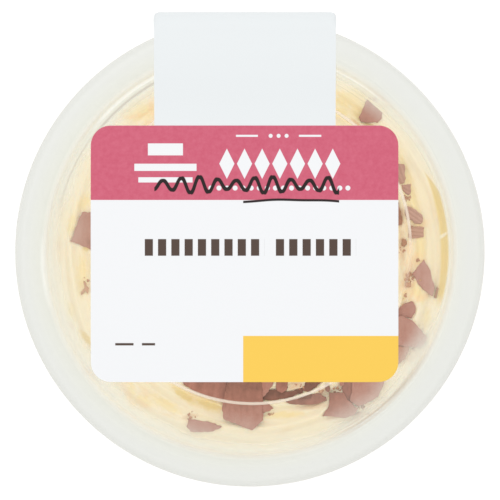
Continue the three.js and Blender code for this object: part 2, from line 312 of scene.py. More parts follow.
def broad_height(x, y):
    """The dome with the broad ridges of the spatula."""
    radius = math.hypot(x, y)
    angle = math.atan2(y, x)
    dome = CREAM_EDGE + CREAM_DOME * (1 - min(radius / CREAM_RADIUS, 1) ** 3)
    wander = 0.9 * math.sin(2 * angle + 0.6) + 0.6 * math.sin(3 * angle - 1.1)
    turns = math.tau * radius / SWIRL_PITCH + angle + wander
    fine = FINE_RIDGES * math.tau * radius / SWIRL_PITCH - 2 * angle + 1.3 * wander
    strength = SWIRL_DEPTH * min(radius / SWIRL_FROM, 1)
    return dome + strength * (math.cos(turns) + FINE_SHARE * math.cos(fine))


# %% Streaks and lumps on the cream
CREAM_CEILING = PANEL_UNDER + 0.02 * MM
CONTACT_RISE = 0.5 * MM  # how far the crests come up where the lid would press on them
CONTACT_END = 48 * MM
CONTACT_SLOPE = 30 * MM
LUMPS = (0.45 * MM, 7 * MM, 0)  # height, size and level of the noise
GRAIN = (0.05 * MM, 0.9 * MM, 9 * MM)
STREAKS = ((0.3 * MM, 1.9 * MM, 0.4), (0.12 * MM, 0.8 * MM, 2.1))  # height, pitch and turn
STREAK_WAVES = 2.1  # how often a streak ends on its way round


def bumps(x, y, height, size, level):
    """Soft noise of one height and size; each level of it is different."""
    return height * noise.noise(Vector((x, y, level)) / size)


def streaks(x, y, height, pitch, turn):
    """Noise drawn out along the spatula's way round."""
    radius = math.hypot(x, y)
    angle = math.atan2(y, x)
    along = STREAK_WAVES * Vector((math.cos(angle), math.sin(angle)))
    wander = 1.4 * math.sin(2 * angle + turn)
    return height * noise.noise(Vector((*along, radius / pitch + wander)))


def cream_height(x, y):
    """The cream's surface, pressed flat where it would touch the lid."""
    height = broad_height(x, y)
    height += CONTACT_RISE * smooth_step((CONTACT_END - math.hypot(x, y)) / CONTACT_SLOPE)
    height += bumps(x, y, *LUMPS) + bumps(x, y, *GRAIN)
    height += sum(streaks(x, y, *kind) for kind in STREAKS)
    return min(height, CREAM_CEILING)


# %% [markdown]
# ## Where the flakes lie
#
# The flakes are broken from a thin sheet of chocolate, so each is a flat piece with a few straight edges. It
# is told by how steeply it lies, the direction in which it rises, and its corners seen from above. Its tone
# says how much of its face is in the open and paints shade and dust: 0 for one deep in the shade of a pile,
# 1 for a face that is pale with dust. A sunk flake lies below the others of its pile. Those that show were
# placed one by one. Under the label they are strewn by a seeded rule, because nobody sees them.
#
# They come before the cream's mesh, because each one presses the cream down below itself.

# %% The flakes that show
FLAKE_THICKNESS = 0.8 * MM
LID_CLEARANCE = 0.05 * MM


def flake(tilt, rise, *corners, tone=0.6, smeared=0, scored=None, sunk=0):
    """Angles are in degrees and lengths in millimetres; scored is the way across the grooves."""
    outline = [Vector(corner) * MM for corner in corners]
    return {
        "tilt": math.radians(tilt),
        "rise": math.radians(rise),
        "outline": outline,
        "middle": sum(outline, Vector((0, 0))) / len(outline),
        "tone": tone,
        "smeared": smeared,
        "scored": scored,
        "sunk": sunk * MM,
    }


FLAKES = [
    # left of the label
    flake(4, 0, (-42.4, 10.1), (-37.9, 9.7), (-38.4, 4), (-39.9, 0.5), (-45.2, 2.7), (-44, 6),
          tone=0.55, smeared=0.1),
    flake(12, 90, (-42, -7.4), (-41.5, -7.5), (-41.2, -8.6), (-40.6, -9.3), (-40.8, -10.5),
          (-41.6, -9.9), (-42.5, -10.9), (-42.6, -10.3), (-41.9, -9.3), tone=0.7, smeared=0.7),
    # the right side, from the top down
    flake(6, 220, (29.7, 38.6), (33.4, 35.1), (33.2, 33.6), (32.2, 32.6), (28.1, 32.8), (27.6, 34.1)),
    flake(6, 180, (34.7, 22), (38.9, 22.2), (39.3, 18.5), (38.9, 17.3), (35.2, 16.5),
          tone=0.9, smeared=0.2, scored=20),
    flake(10, 200, (38.4, 17), (40.5, 17), (40.6, 14.6), (39.8, 14.2), (38.6, 15.5),
          tone=0.9, smeared=0.2, scored=60),
    flake(9, 180, (36.2, 13), (37.5, 12.4), (38.6, 7.8), (38.4, 6.9), (35.9, 6.5),
          tone=0.25, smeared=0.3, scored=45),
    flake(12, 250, (39.2, 11.5), (40.7, 11.2), (43.6, 9.3), (43.8, 8.2), (43.1, 7), (41.5, 7.2),
          (40.8, 8.1), (39.4, 8.1), tone=1.1, smeared=0.2, scored=55),
    flake(12, 90, (40.2, 6.4), (43.9, 6.2), (43.9, 3.6), (40, 3.5), tone=0.95, smeared=0.35, scored=85),
    flake(10, 0, (38.5, 3.4), (39.4, 3.2), (39.6, 1.9), (39, 1.3), (38.4, 1.6), tone=0.2, smeared=0.5),
    flake(6, 170, (43.9, -2), (45.3, -4.2), (46.1, -6.8), (46.8, -9.2), (46.2, -11.1), (43.8, -9.6),
          (42.2, -7.8), (41.1, -5.4), tone=0.95),
    # a thin dark flake, painted shade at the lower right of the large flake above it
    flake(14, 80, (47.2, -8.9), (47.7, -9.3), (47.2, -11.6), (46.6, -11.5), tone=0.1, smeared=0.5),
    flake(12, 200, (39.3, -7.6), (40.7, -7.9), (40.6, -8.8), (39.1, -9.1), tone=0.7, smeared=0.6),
    flake(8, 120, (36.7, -14.4), (40.1, -12.7), (41.2, -12.5), (42, -14), (41.7, -15.4),
          (40.8, -16.7), (35.7, -16)),
    flake(6, 150, (36, -16.6), (38.7, -16.2), (40.7, -17.1), (42.7, -19.4), (44.7, -21.6), (44, -23.4),
          (42.5, -24.2), (36, -23.5), tone=0.8),
    flake(8, 120, (34.7, -23.7), (40.2, -23.8), (39.9, -25.6), (39.1, -27), (37.8, -28.2), (36.2, -28.9),
          tone=0.65, smeared=0.25),
    # the two large ones below the label and their neighbours
    flake(4, 90, (-17.6, -31.2), (-4.6, -30.7), (-6, -37.9), (-13.5, -35.5), (-16.8, -33.4),
          tone=0.4, sunk=0.5),
    flake(4, 80, (-5.2, -31.7), (3, -31.7), (3.5, -39.2), (3.3, -42.5),
          (0.5, -45), (-6.8, -42.2), (-7, -37.7), tone=0.45),
    flake(12, 180, (3, -37.8), (4.6, -38.2), (6.1, -39.5), (5, -40), (3.4, -40.7), tone=0.5),
    flake(5, 90, (-15.5, -42.2), (-10, -43), (-7, -44.2), (-10, -45.5), (-15, -45.5), (-16, -44),
          tone=0.75),
    # the pile below the yellow field; its darkest flakes, some of them sunk, are painted shade between the
    # others
    flake(3, 90, (2.6, -35.2), (6.3, -34.7), (9.5, -35.3), (13.5, -34.5), (13.4, -35.4), (10, -36.8),
          (6.3, -37.4), (2.8, -37.5), tone=0, sunk=0.7),
    flake(3, 120, (13.1, -34.9), (14.2, -32.7), (18.8, -31.9), (17.3, -33.7), (15, -35.3),
          tone=0.05, sunk=0.5),
    flake(16, 150, (2.6, -31.5), (6.2, -31.5), (5.8, -33.3), (4.6, -35.3), (3.5, -36.6), (2.8, -37),
          tone=0.65),
    flake(14, 60, (6.6, -31.5), (9.6, -31.6), (9.4, -35), (8, -35.6), (6.6, -34.8), tone=0.4),
    flake(9, 100, (9, -37.8), (11.4, -36.8), (14, -36.3), (17.2, -35.7), (19.2, -36.8), (19.4, -37.5),
          (17.2, -38.3), (13.8, -38.6), (10, -38.4), tone=0.3),
    flake(8, 60, (12.4, -36.5), (15.7, -35.9), (15.4, -36.9), (12.2, -37.3), tone=0),
    flake(14, 30, (18.9, -33.4), (20, -33.2), (20.2, -35.3), (19.1, -35.1), tone=0.15),
    flake(7, 40, (20, -35.6), (23.8, -35.4), (24.9, -37.6), (27.2, -39.6), (26.4, -41.2), (23.5, -42),
          (20.5, -41.6), (18.4, -41.5), (18.7, -40.7), (19.9, -39.2), tone=0.48),
    flake(4, 120, (23.3, -32.3), (26.9, -31.9), (27.6, -35), (27, -38.8), (24, -37.4), (23.5, -36),
          tone=0.5, sunk=0.5),
    flake(12, 120, (22.2, -31.2), (24, -31.4), (23.8, -33.7), (22.8, -33.9), tone=0.5),
    flake(6, 110, (26.1, -30.5), (34.2, -29.7), (33.9, -33.2), (32.4, -36.6), (30, -38),
          (27.3, -39.1), (25.2, -37.6), (25.8, -34), tone=0.75),
]
print(len(FLAKES), "flakes in sight")

# %% The flakes under the label
STREWN_FLAKES = 11
STREWN_RADIUS = 27
STREWN_TURN = 2.4  # from one flake to the next, in radians
STREWN_CORNERS = 5
STREWN_SEED = 20417
CHANCE_STEP = 16807
CHANCE_RANGE = 2147483647


def even_chances(state):
    """Endless repeatable numbers from 0 to 1, the same that the solid's flakes were strewn by."""
    while True:
        state = state * CHANCE_STEP % CHANCE_RANGE
        yield state / CHANCE_RANGE


def strewn_flakes():
    """Flakes spread evenly by a turning angle, each with uneven corners."""
    chances = even_chances(STREWN_SEED)
    for index in range(STREWN_FLAKES):
        turn = index * STREWN_TURN
        reach = STREWN_RADIUS * math.sqrt((index + 0.5) / STREWN_FLAKES)
        corners = []
        for corner in range(STREWN_CORNERS):
            angle = math.tau * (corner + 0.5 * next(chances)) / STREWN_CORNERS
            size = 3.2 + 2.2 * next(chances)
            corners.append((
                reach * math.cos(turn) + size * math.cos(angle),
                reach * math.sin(turn) + size * math.sin(angle),
            ))
        yield flake(3 + 5 * next(chances), 360 * next(chances), *corners)


ALL_FLAKES = FLAKES + list(strewn_flakes())

# %% How high each flake lies
FLAKE_LIFT = 0.1 * MM  # how far a flake's middle lies above the cream


def flake_reach(one):
    """The distance of a flake's farthest corner from its middle."""
    return max((corner - one["middle"]).length for corner in one["outline"])


def flake_place(one):
    """The matrix that lays a flat flake about its middle on the cream, below the lid."""
    ceiling = PANEL_UNDER - LID_CLEARANCE - FLAKE_THICKNESS / 2 - flake_reach(one) * math.sin(one["tilt"])
    height = min(cream_height(*one["middle"]) + FLAKE_LIFT, ceiling) - one["sunk"]
    leaning = (
        Matrix.Rotation(one["rise"], 4, "Z")
        @ Matrix.Rotation(-one["tilt"], 4, "Y")
        @ Matrix.Rotation(-one["rise"], 4, "Z")
    )
    return Matrix.Translation((*one["middle"], height)) @ leaning


for one in ALL_FLAKES:
    one["place"] = flake_place(one)
print(f"flakes lie at {1000 * min(one['place'].translation.z for one in ALL_FLAKES):.1f} mm and higher")

# %% [markdown]
# ## The cream's mesh
#
# The line that is spun has a few long stretches for the floor and the side, and one that is cut very finely
# for the top. After the spin the top is lifted to its height, and then pressed down under each flake, with a
# short slope round it where the cream is squeezed up.

# %% Press the cream down under the flakes
FLAKE_SINK = 0.25 * MM  # how deep the underside of a flake lies in the cream
SQUEEZE_SLOPE = 1.3
SQUEEZE_REACH = 1.2 * MM


def outside_by(place, outline):
    """Distance from a place to an outline, 0 inside it."""
    inside = False
    nearest = math.inf
    for start, end in zip(outline, outline[1:] + outline[:1]):
        if (start.y > place.y) != (end.y > place.y):
            crossing = start.x + (place.y - start.y) / (end.y - start.y) * (end.x - start.x)
            if place.x < crossing:
                inside = not inside
        along = end - start
        share = clamp((place - start).dot(along) / along.length_squared)
        nearest = min(nearest, (place - start - share * along).length)
    return 0 if inside else nearest


def press_under(one, verts):
    """Lower the vertices that lie under one flake."""
    reach = flake_reach(one) + SQUEEZE_REACH
    normal = one["place"].to_3x3() @ Vector((0, 0, 1))
    origin = one["place"].translation
    for vert in verts:
        if abs(vert.co.x - origin.x) > reach or abs(vert.co.y - origin.y) > reach:
            continue
        off = outside_by(vert.co.xy, one["outline"])
        if off < SQUEEZE_REACH:
            lean = (vert.co.xy - origin.xy).dot(normal.xy) / normal.z
            underside = origin.z - lean - FLAKE_THICKNESS / 2
            vert.co.z = min(vert.co.z, underside + FLAKE_SINK + SQUEEZE_SLOPE * off)


# %% Fill the tub with cream
CREAM_STEPS = 420
CREAM_RINGS = 190
CREAM_FOOT = FOOT_RECESS + TUB_WALL / 2
CREAM_ROUNDING = 2 * MM
CREAM_SPAN = 6 * MM  # longest stretch on the floor and the side


def make_cream():
    bm = bmesh.new()
    rounded_line(bm, [
        (0, CREAM_FOOT, 0),
        (wall_radius(CREAM_FOOT) - TUB_WALL / 2, CREAM_FOOT, CREAM_ROUNDING),
        (CREAM_RADIUS, CREAM_EDGE, 0),
    ])
    cut_long_edges(bm, CREAM_SPAN)
    rim = bm.verts.new((CREAM_RADIUS, 0, CREAM_EDGE))
    middle = bm.verts.new((0, 0, CREAM_EDGE))
    bmesh.ops.subdivide_edges(bm, edges=[bm.edges.new((rim, middle))], cuts=CREAM_RINGS)
    spin_round(bm, CREAM_STEPS)
    crest = bm.verts.layers.float.new("crest")
    top = [vert for vert in bm.verts if vert.co.z > CREAM_EDGE - WELD]
    for vert in top:
        x, y = vert.co.xy
        vert.co.z = cream_height(x, y)
        vert[crest] = (broad_height(x, y) - CREAM_EDGE - CREAM_DOME) / SWIRL_DEPTH
    for one in ALL_FLAKES:
        press_under(one, top)
    return shown("custard_cream", bm)


cream = make_cream()

# %% [markdown]
# ## The chocolate flakes
#
# A flake starts as one flat face. Its edges are cut and roughened, because chocolate breaks unevenly, the
# face is cut into small squares so that it can bend, and an extrusion gives it its thickness. Then its upper
# edge is bevelled, some flakes get the grooves of the scraper that took them off the slab, and all are bent a
# little. Crumbs are small spheres with every vertex pushed about, scattered near the flakes.

# %% Cut a flat mesh into squares
def cut_into_squares(bm, spacing):
    """Cut all faces along evenly spaced planes across X and across Y."""
    for across in (Vector((1, 0, 0)), Vector((0, 1, 0))):
        places = [vert.co.dot(across) for vert in bm.verts]
        place = min(places) + spacing
        while place < max(places) - spacing / 4:
            bmesh.ops.bisect_plane(
                bm, geom=bm.verts[:] + bm.edges[:] + bm.faces[:],
                plane_co=across * place, plane_no=across, dist=WELD,
            )
            place += spacing


# %% Break one flake
FLAKE_SQUARE = 0.5 * MM
SCORED_SQUARE = 0.2 * MM  # grooves need finer squares to show
RAGGED = 0.14 * MM  # how far a broken edge strays from its line
RAGGED_STEP = 0.8 * MM
FLAKE_BEVEL = 0.1 * MM
SCORE_PITCH = 0.95 * MM  # distance between two grooves of the scraper
SCORE_DEPTH = 0.2 * MM
FLAKE_BEND = 0.18 * MM
BEND_TURN = 0.6  # between the way a flake rises and the way it bends, in radians
PALER_OUTWARDS = 0.05  # how much a flake's tone gains with each millimetre towards the wall


def chocolate_layers(bm):
    """The values that the finish reads at each vertex: tone, smeared and groove."""
    return [bm.verts.layers.float.new(name) for name in ("tone", "smeared", "groove")]


def unit_vector(turn):
    """The flat vector of length 1 in a direction."""
    return Vector((math.cos(turn), math.sin(turn)))


def broken_face(bm, one, chance):
    """The flake's flat face with ragged edges, cut into squares."""
    face = bm.faces.new([bm.verts.new((*(corner - one["middle"]), 0)) for corner in one["outline"]])
    corners = set(bm.verts)
    for edge in face.edges[:]:
        cuts = int(edge.calc_length() / RAGGED_STEP)
        bmesh.ops.subdivide_edges(bm, edges=[edge], cuts=max(cuts, 1))
    for vert in bm.verts:
        stray = RAGGED if vert not in corners else 2 * RAGGED
        vert.co.x += stray * (2 * chance.random() - 1)
        vert.co.y += stray * (2 * chance.random() - 1)
    cut_into_squares(bm, FLAKE_SQUARE if one["scored"] is None else SCORED_SQUARE)


def slab(bm):
    """Give the flat face its thickness, and bevel the upper edge."""
    raised = bmesh.ops.extrude_face_region(bm, geom=bm.faces[:])["geom"]
    top = [item for item in raised if isinstance(item, bmesh.types.BMVert)]
    bmesh.ops.translate(bm, verts=top, vec=(0, 0, FLAKE_THICKNESS))
    bmesh.ops.recalc_face_normals(bm, faces=bm.faces)
    edge_of_top = [
        edge for edge in bm.edges
        if edge.calc_face_angle(0) > 1 and min(vert.co.z for vert in edge.verts) > FLAKE_THICKNESS / 2
    ]
    bmesh.ops.bevel(
        bm, geom=edge_of_top, offset=FLAKE_BEVEL, offset_type="OFFSET", affect="EDGES",
        segments=2, profile=0.5, material=-1,
    )


# %% Score, bend and lay one flake
def make_flake(one, chance):
    """One flake as a mesh of its own, laid in its place."""
    bm = bmesh.new()
    broken_face(bm, one, chance)
    slab(bm)
    scored = one["scored"] is not None
    groove_way = unit_vector(math.radians(one["scored"] or 0))
    bend_way = unit_vector(one["rise"] + BEND_TURN)
    reach = max(vert.co.xy.length for vert in bm.verts)
    tone, smeared, groove = chocolate_layers(bm)
    for vert in bm.verts:
        across = vert.co.xy.dot(groove_way) / SCORE_PITCH
        depth = (0.5 + 0.5 * math.cos(math.tau * across)) * scored
        rise = vert.co.z / FLAKE_THICKNESS
        outwards = (one["middle"] + vert.co.xy).length - one["middle"].length
        vert[tone] = one["tone"] + PALER_OUTWARDS * outwards / MM
        vert[smeared] = one["smeared"]
        vert[groove] = depth * rise
        vert.co.z += FLAKE_BEND * (vert.co.xy.dot(bend_way) / reach) ** 2 - SCORE_DEPTH * depth * rise
        vert.co.z -= FLAKE_THICKNESS / 2
    bmesh.ops.transform(bm, matrix=one["place"], verts=bm.verts)
    return bm


# %% Make a crumb
# Crumbs lie in clusters: the middle and the spread in millimetres, and how many there are.
CRUMB_CLUSTERS = (
    (39.6, 13.3, 1.2, 14), (39.9, -5.6, 1.1, 16), (38.9, -11.2, 0.7, 6), (42.5, -2, 0.4, 3),
    (-15.2, -41.5, 1.4, 9), (31.4, 38.7, 0.8, 4), (38.4, 0.4, 0.7, 5), (17.6, -35.2, 1, 8),
    (22, -34.8, 1.2, 9), (12.4, -33.6, 1.4, 7), (28.6, -40.4, 1.3, 7), (41.6, -25.3, 1.2, 5),
    (-41.2, -6.8, 0.6, 3), (5.8, -40.6, 0.9, 4), (40.6, -7, 1.3, 10), (40.4, 5.6, 1, 8),
)
CRUMB_SMEARED = 0.6
CRUMB_SMALLEST = 0.13 * MM
CRUMB_GROWTH = 0.28 * MM  # how much larger the largest is
CRUMB_FLATNESS = 0.7
CRUMB_SEED = 7


def make_crumb(chance, middle_x, middle_y, spread):
    """A crumb of one cluster: a little ball pushed out of shape and half sunk."""
    x = chance.gauss(middle_x, spread / 2) * MM
    y = chance.gauss(middle_y, spread / 2) * MM
    size = CRUMB_SMALLEST + CRUMB_GROWTH * chance.random() ** 2
    bm = bmesh.new()
    bmesh.ops.create_icosphere(bm, subdivisions=2, radius=size)
    tone, smeared, _ = chocolate_layers(bm)
    crumb_tone = 0.2 + 0.8 * chance.random()
    stretch = 0.7 + chance.random()
    for vert in bm.verts:
        vert.co *= 0.7 + 0.6 * chance.random()
        vert.co.x *= stretch
        vert.co.z *= CRUMB_FLATNESS
        vert[tone] = crumb_tone
        vert[smeared] = CRUMB_SMEARED
    turned = Matrix.Rotation(math.tau * chance.random(), 4, "Z")
    height = min(cream_height(x, y), CREAM_CEILING - 1.2 * size)
    bmesh.ops.transform(bm, matrix=Matrix.Translation((x, y, height)) @ turned, verts=bm.verts)
    return bm


# %% Join flakes and crumbs
def make_chocolate():
    chance = random.Random(CRUMB_SEED)
    whole = bmesh.new()
    parts = [make_flake(one, chance) for one in ALL_FLAKES]
    for middle_x, middle_y, spread, count in CRUMB_CLUSTERS:
        parts += [make_crumb(chance, middle_x, middle_y, spread) for _ in range(count)]
    for part in parts:
        mesh = bpy.data.meshes.new("part")
        part.to_mesh(mesh)
        part.free()
        whole.from_mesh(mesh)
        bpy.data.meshes.remove(mesh)
    return shown("chocolate_flakes", whole, smooth_angle=38)


chocolate = make_chocolate()

# %% [markdown]
# ## The label
#
# The label is one sheet of paper: a panel with round corners that lies in the recess, and a tail that bridges
# the recess wall, folds over the rim and is stuck to the side of the tub.
#
# It is cut out flat, as a label maker would, and the flat places are kept as its UV map, so that the print
# follows the paper. Then the sheet is cut into small squares and each vertex is carried to where the paper
# lies. The way that the tail takes is drawn as a line with rounded corners, like the turned parts.

# %% The way the tail takes, seen from the side
PAPER = 0.2 * MM
PAPER_LIFT = 0.06 * MM  # air under the paper where it lies on the lid
LABEL_LEFT = label_low.x
LABEL_RIGHT = label_high.x
LABEL_BOTTOM = label_low.y
LABEL_TOP = 31.7 * MM
TAIL_LEFT = -24 * MM
TAIL_RIGHT = 21.5 * MM
TAIL_REACH = label_high.y - PAPER
TAIL_STUCK_FROM = 42.5 * MM
TAIL_END = label_low.z
TAIL_START = LABEL_TOP - 5 * MM  # the tail's line begins here, where the paper still lies on the panel
TAIL_LIFTS = LABEL_TOP + 2.5 * MM  # here it leaves the panel
TAIL_LANDS = LABEL_TOP + 15 * MM  # and here it comes to lie on the rim
SOFT_FOLD = 4 * MM
RIM_FOLD = 3.4 * MM
SIDE_FOLD = 3 * MM


def line_points(bm):
    """The vertices of one open line, in order from its upper end."""
    ends = [vert for vert in bm.verts if len(vert.link_edges) == 1]
    vert = max(ends, key=lambda end: end.co.z)
    edge = None
    points = []
    while vert is not None:
        points.append(Vector((vert.co.x, vert.co.z)))
        edge = next((other for other in vert.link_edges if other != edge), None)
        vert = edge.other_vert(vert) if edge else None
    return points


def tail_line():
    """Points (distance from the axis, height) under the tail, from the panel to its end."""
    bm = bmesh.new()
    on_ring = PANEL_TOP + RING_HEIGHT + PAPER_LIFT
    on_rim = LID_TOP + PAPER_LIFT
    rounded_line(bm, [
        (TAIL_START, on_ring, 0),
        (TAIL_LIFTS, on_ring, SOFT_FOLD),
        (TAIL_LANDS, on_rim, SOFT_FOLD),
        (TAIL_REACH, on_rim, RIM_FOLD),
        (TAIL_REACH, SKIRT_FOOT, SIDE_FOLD),
        (wall_radius(TAIL_STUCK_FROM) + PAPER_LIFT, TAIL_STUCK_FROM, SIDE_FOLD),
        (wall_radius(TAIL_END) + PAPER_LIFT, TAIL_END, 0),
    ])
    points = line_points(bm)
    bm.free()
    return points


TAIL_LINE = tail_line()
TAIL_LENGTHS = [0]  # how much paper lies between the line's start and each of its points
for start, end in zip(TAIL_LINE, TAIL_LINE[1:]):
    TAIL_LENGTHS.append(TAIL_LENGTHS[-1] + (end - start).length)
print(f"tail {1000 * TAIL_LENGTHS[-1]:.1f} mm long")

# %% Carry a flat place to where the paper lies
PAPER_FALL = 9 * MM  # the stiff paper lies on the ring, and comes down to the panel this far outside it
TAIL_FADE = 6 * MM  # how far beside the tail the panel still lifts with it
FOLD_CORNER = 1 * MM  # the sides of the fold are drawn in with this radius
FOLD_DEPTH = 3 * MM  # the fold begins this far before the tail's outermost place


def along_tail(length):
    """The point of the tail's line at a length of paper."""
    for index, reached in enumerate(TAIL_LENGTHS[1:]):
        if length <= reached or index == len(TAIL_LINE) - 2:
            share = (length - TAIL_LENGTHS[index]) / (reached - TAIL_LENGTHS[index])
            return TAIL_LINE[index].lerp(TAIL_LINE[index + 1], share)


def drawn_in(x):
    """How far the fold at the rim is drawn in at its rounded sides."""
    to_side = min(x - TAIL_LEFT, TAIL_RIGHT - x)
    share = clamp(1 - to_side / FOLD_CORNER)
    return FOLD_CORNER * (1 - math.sqrt(1 - share * share))


def paper_place(x, length):
    """Where a place on the flat sheet comes to lie."""
    outside = (Vector((x, length)) - RING_CENTRE).length - RING_RADIUS
    on_panel = PANEL_TOP + PAPER_LIFT + RING_HEIGHT * smooth_step(1 - outside / PAPER_FALL)
    if length < TAIL_START:
        return Vector((x, length, on_panel))
    distance, height = along_tail(length - TAIL_START)
    beside = max(TAIL_LEFT - x, x - TAIL_RIGHT, 0)
    height += (on_panel - height) * smooth_step(beside / TAIL_FADE)
    height = max(height, on_panel) if length < LABEL_TOP else height
    if distance > TAIL_REACH - FOLD_DEPTH:
        distance -= drawn_in(x)
    if height < SKIRT_FOOT:
        stuck = smooth_step((SKIRT_FOOT - height) / (SKIRT_FOOT - TAIL_STUCK_FROM))
        distance -= stuck * (distance - math.sqrt(distance ** 2 - x ** 2))
    return Vector((x, distance, height))


# %% Cut, bend and thicken the label
LABEL_CORNER = 5 * MM
TAIL_END_CORNER = 3 * MM
PAPER_SQUARE = 0.9 * MM


def make_label():
    tail_end = TAIL_START + TAIL_LENGTHS[-1]
    corners = [
        (LABEL_LEFT, LABEL_BOTTOM, LABEL_CORNER),
        (LABEL_RIGHT, LABEL_BOTTOM, LABEL_CORNER),
        (LABEL_RIGHT, LABEL_TOP, LABEL_CORNER),
        (TAIL_RIGHT, LABEL_TOP, 0),
        (TAIL_RIGHT, tail_end, TAIL_END_CORNER),
        (TAIL_LEFT, tail_end, TAIL_END_CORNER),
        (TAIL_LEFT, LABEL_TOP, 0),
        (LABEL_LEFT, LABEL_TOP, LABEL_CORNER),
    ]
    bm = bmesh.new()
    points = [bm.verts.new((x, y, 0)) for x, y, _ in corners]
    bm.faces.new(points)
    round_corners(bm, points, corners, 2 * ROUND_STEPS)
    cut_into_squares(bm, PAPER_SQUARE)
    sheet = bm.loops.layers.uv.new("sheet")
    for face in bm.faces:
        for loop in face.loops:
            loop[sheet].uv = loop.vert.co.xy
    for vert in bm.verts:
        vert.co = paper_place(vert.co.x, vert.co.y)
    bm.normal_update()
    turn_middle(bm, upwards=False)
    thicken(bm, PAPER)
    return shown("seal_label", bm, smooth_angle=60)


label = make_label()

# %% [markdown]
# ## Writing materials as sums
#
# A material is a net of nodes, and most nodes only add, multiply or compare. The small class below wraps the
# output of a node, and arithmetic on it adds the Math nodes, so that a mask reads like a formula. Every other
# node comes from one method of `Finish`, which takes the kind of node, its settings and its sockets.

# %% A signal and its arithmetic
class Signal:
    """What one socket puts out in one finish."""

    def __init__(self, finish, socket):
        self.finish = finish
        self.socket = socket

    def __add__(self, other):
        return self.finish.math("ADD", self, other)

    def __radd__(self, other):
        return self.finish.math("ADD", other, self)

    def __sub__(self, other):
        return self.finish.math("SUBTRACT", self, other)

    def __rsub__(self, other):
        return self.finish.math("SUBTRACT", other, self)

    def __mul__(self, other):
        return self.finish.math("MULTIPLY", self, other)

    def __rmul__(self, other):
        return self.finish.math("MULTIPLY", other, self)

    def __truediv__(self, other):
        return self.finish.math("DIVIDE", self, other)

    def above(self, edge, softness):
        """0 where the signal is below the edge and 1 where it is above, with a soft change between."""
        share = (self - edge) / softness + 0.5
        return self.finish.math("ADD", share, 0, clamped=True)

    def apply(self, operation, other=0):
        """Any other Math operation on the signal."""
        return self.finish.math(operation, self, other)


# %% A finish and its nodes
PATCH_SOFTNESS = 0.9  # in shares of a patch's size


class Finish:
    """A material, or the studio round the scene, in the making."""

    def __init__(self, name, made_in=bpy.data.materials):
        self.owner = made_in.new(name)
        self.owner.use_nodes = True
        self.tree = self.owner.node_tree
        self.tree.nodes.clear()

    def node(self, kind, settings, sockets, output=0):
        """Add a node: its settings first, then a value or a link for each of its sockets."""
        made = self.tree.nodes.new("ShaderNode" + kind)
        for setting, value in settings.items():
            if setting == "stops":
                self.set_stops(made.color_ramp.elements, value)
            else:
                setattr(made, setting, value)
        for socket, value in sockets.items():
            if isinstance(value, Signal):
                self.tree.links.new(value.socket, made.inputs[socket])
            else:
                made.inputs[socket].default_value = value
        return Signal(self, made.outputs[output])

    def set_stops(self, elements, stops):
        """Give a ramp its stops; it starts with two."""
        for _ in stops[2:]:
            elements.new(1)
        for element, (position, colour) in zip(elements, stops):
            element.position = position
            element.color = (*colour, 1)

    def end(self, kind, surface):
        """Link the finished surface to the output, and hand over what was made."""
        output = self.tree.nodes.new("ShaderNodeOutput" + kind)
        self.tree.links.new(surface.socket, output.inputs["Surface"])
        print(f"{self.owner.name}: {len(self.tree.nodes)} nodes")
        return self.owner

    def surface(self, sockets):
        """End the material in one Principled surface."""
        return self.end("Material", self.node("BsdfPrincipled", {}, sockets))

    def math(self, operation, first, second, clamped=False):
        """One Math node."""
        settings = {"operation": operation, "use_clamp": clamped}
        return self.node("Math", settings, {0: first, 1: second})

    def mix(self, factor, first, second):
        """A colour between two colours."""
        first, second = ((*colour, 1) if isinstance(colour, tuple) else colour for colour in (first, second))
        return self.node("Mix", {"data_type": "RGBA"}, {0: factor, 6: first, 7: second}, output=2)

    def split(self, vector):
        """The X, Y and Z of a vector."""
        first = self.node("SeparateXYZ", {}, {0: vector})
        return [Signal(self, socket) for socket in first.socket.node.outputs]

    def place(self):
        """The place in millimetres in the object's own frame, whole and as X, Y and Z."""
        metres = self.node("TexCoord", {}, {}, output="Object")
        spot = self.node("VectorMath", {"operation": "SCALE"}, {0: metres, "Scale": 1 / MM})
        return spot, self.split(spot)

    def stretched(self, vector, shares):
        """A vector with each axis multiplied by its share."""
        return self.node("VectorMath", {"operation": "MULTIPLY"}, {0: vector, 1: shares})

    def attribute(self, name):
        """A value that the mesh carries at each vertex."""
        return self.node("Attribute", {"attribute_name": name}, {}, output="Fac")

    def noise(self, vector, scale, detail=2, roughness=0.5):
        """Soft noise about 0.5; the scale is in bumps for each millimetre."""
        sockets = {"Vector": vector, "Scale": scale, "Detail": detail, "Roughness": roughness}
        return self.node("TexNoise", {"noise_dimensions": "3D"}, sockets)

    def bump(self, height, distance):
        """A normal for relief of this height; the distance is in millimetres."""
        return self.node("Bump", {}, {"Height": height, "Distance": distance * MM, "Strength": 1})

    def distance(self, x, y, centre_x=0, centre_y=0):
        """Distance of a place from a centre, all in millimetres."""
        across = x - centre_x
        up = y - centre_y
        return (across * across + up * up).apply("SQRT")

    def patches(self, flat, ragged, places):
        """1 inside any of the long patches; ragged strays their outlines, in shares of their size.

        A patch is told by its middle, half length and half width in millimetres, and its direction.
        """
        nearest = 9  # farther off than any outline
        for middle_x, middle_y, half_length, half_width, towards in places:
            own = self.node("Mapping", {"vector_type": "TEXTURE"}, {
                "Vector": flat,
                "Location": (middle_x, middle_y, 0),
                "Rotation": (0, 0, math.radians(towards)),
                "Scale": (half_length, half_width, 1),
            })
            off = self.node("VectorMath", {"operation": "LENGTH"}, {0: own}, output="Value")
            nearest = off.apply("MINIMUM", nearest)
        return 1 - (nearest + ragged).above(1, PATCH_SOFTNESS)


# %% Put masks and values together
def together(masks):
    """Several masks as one that is never more than 1."""
    return sum(masks).apply("MINIMUM", 1)


def blend(value, target, mask):
    """The value, changed to the target where the mask is 1."""
    return value + (target - value) * mask


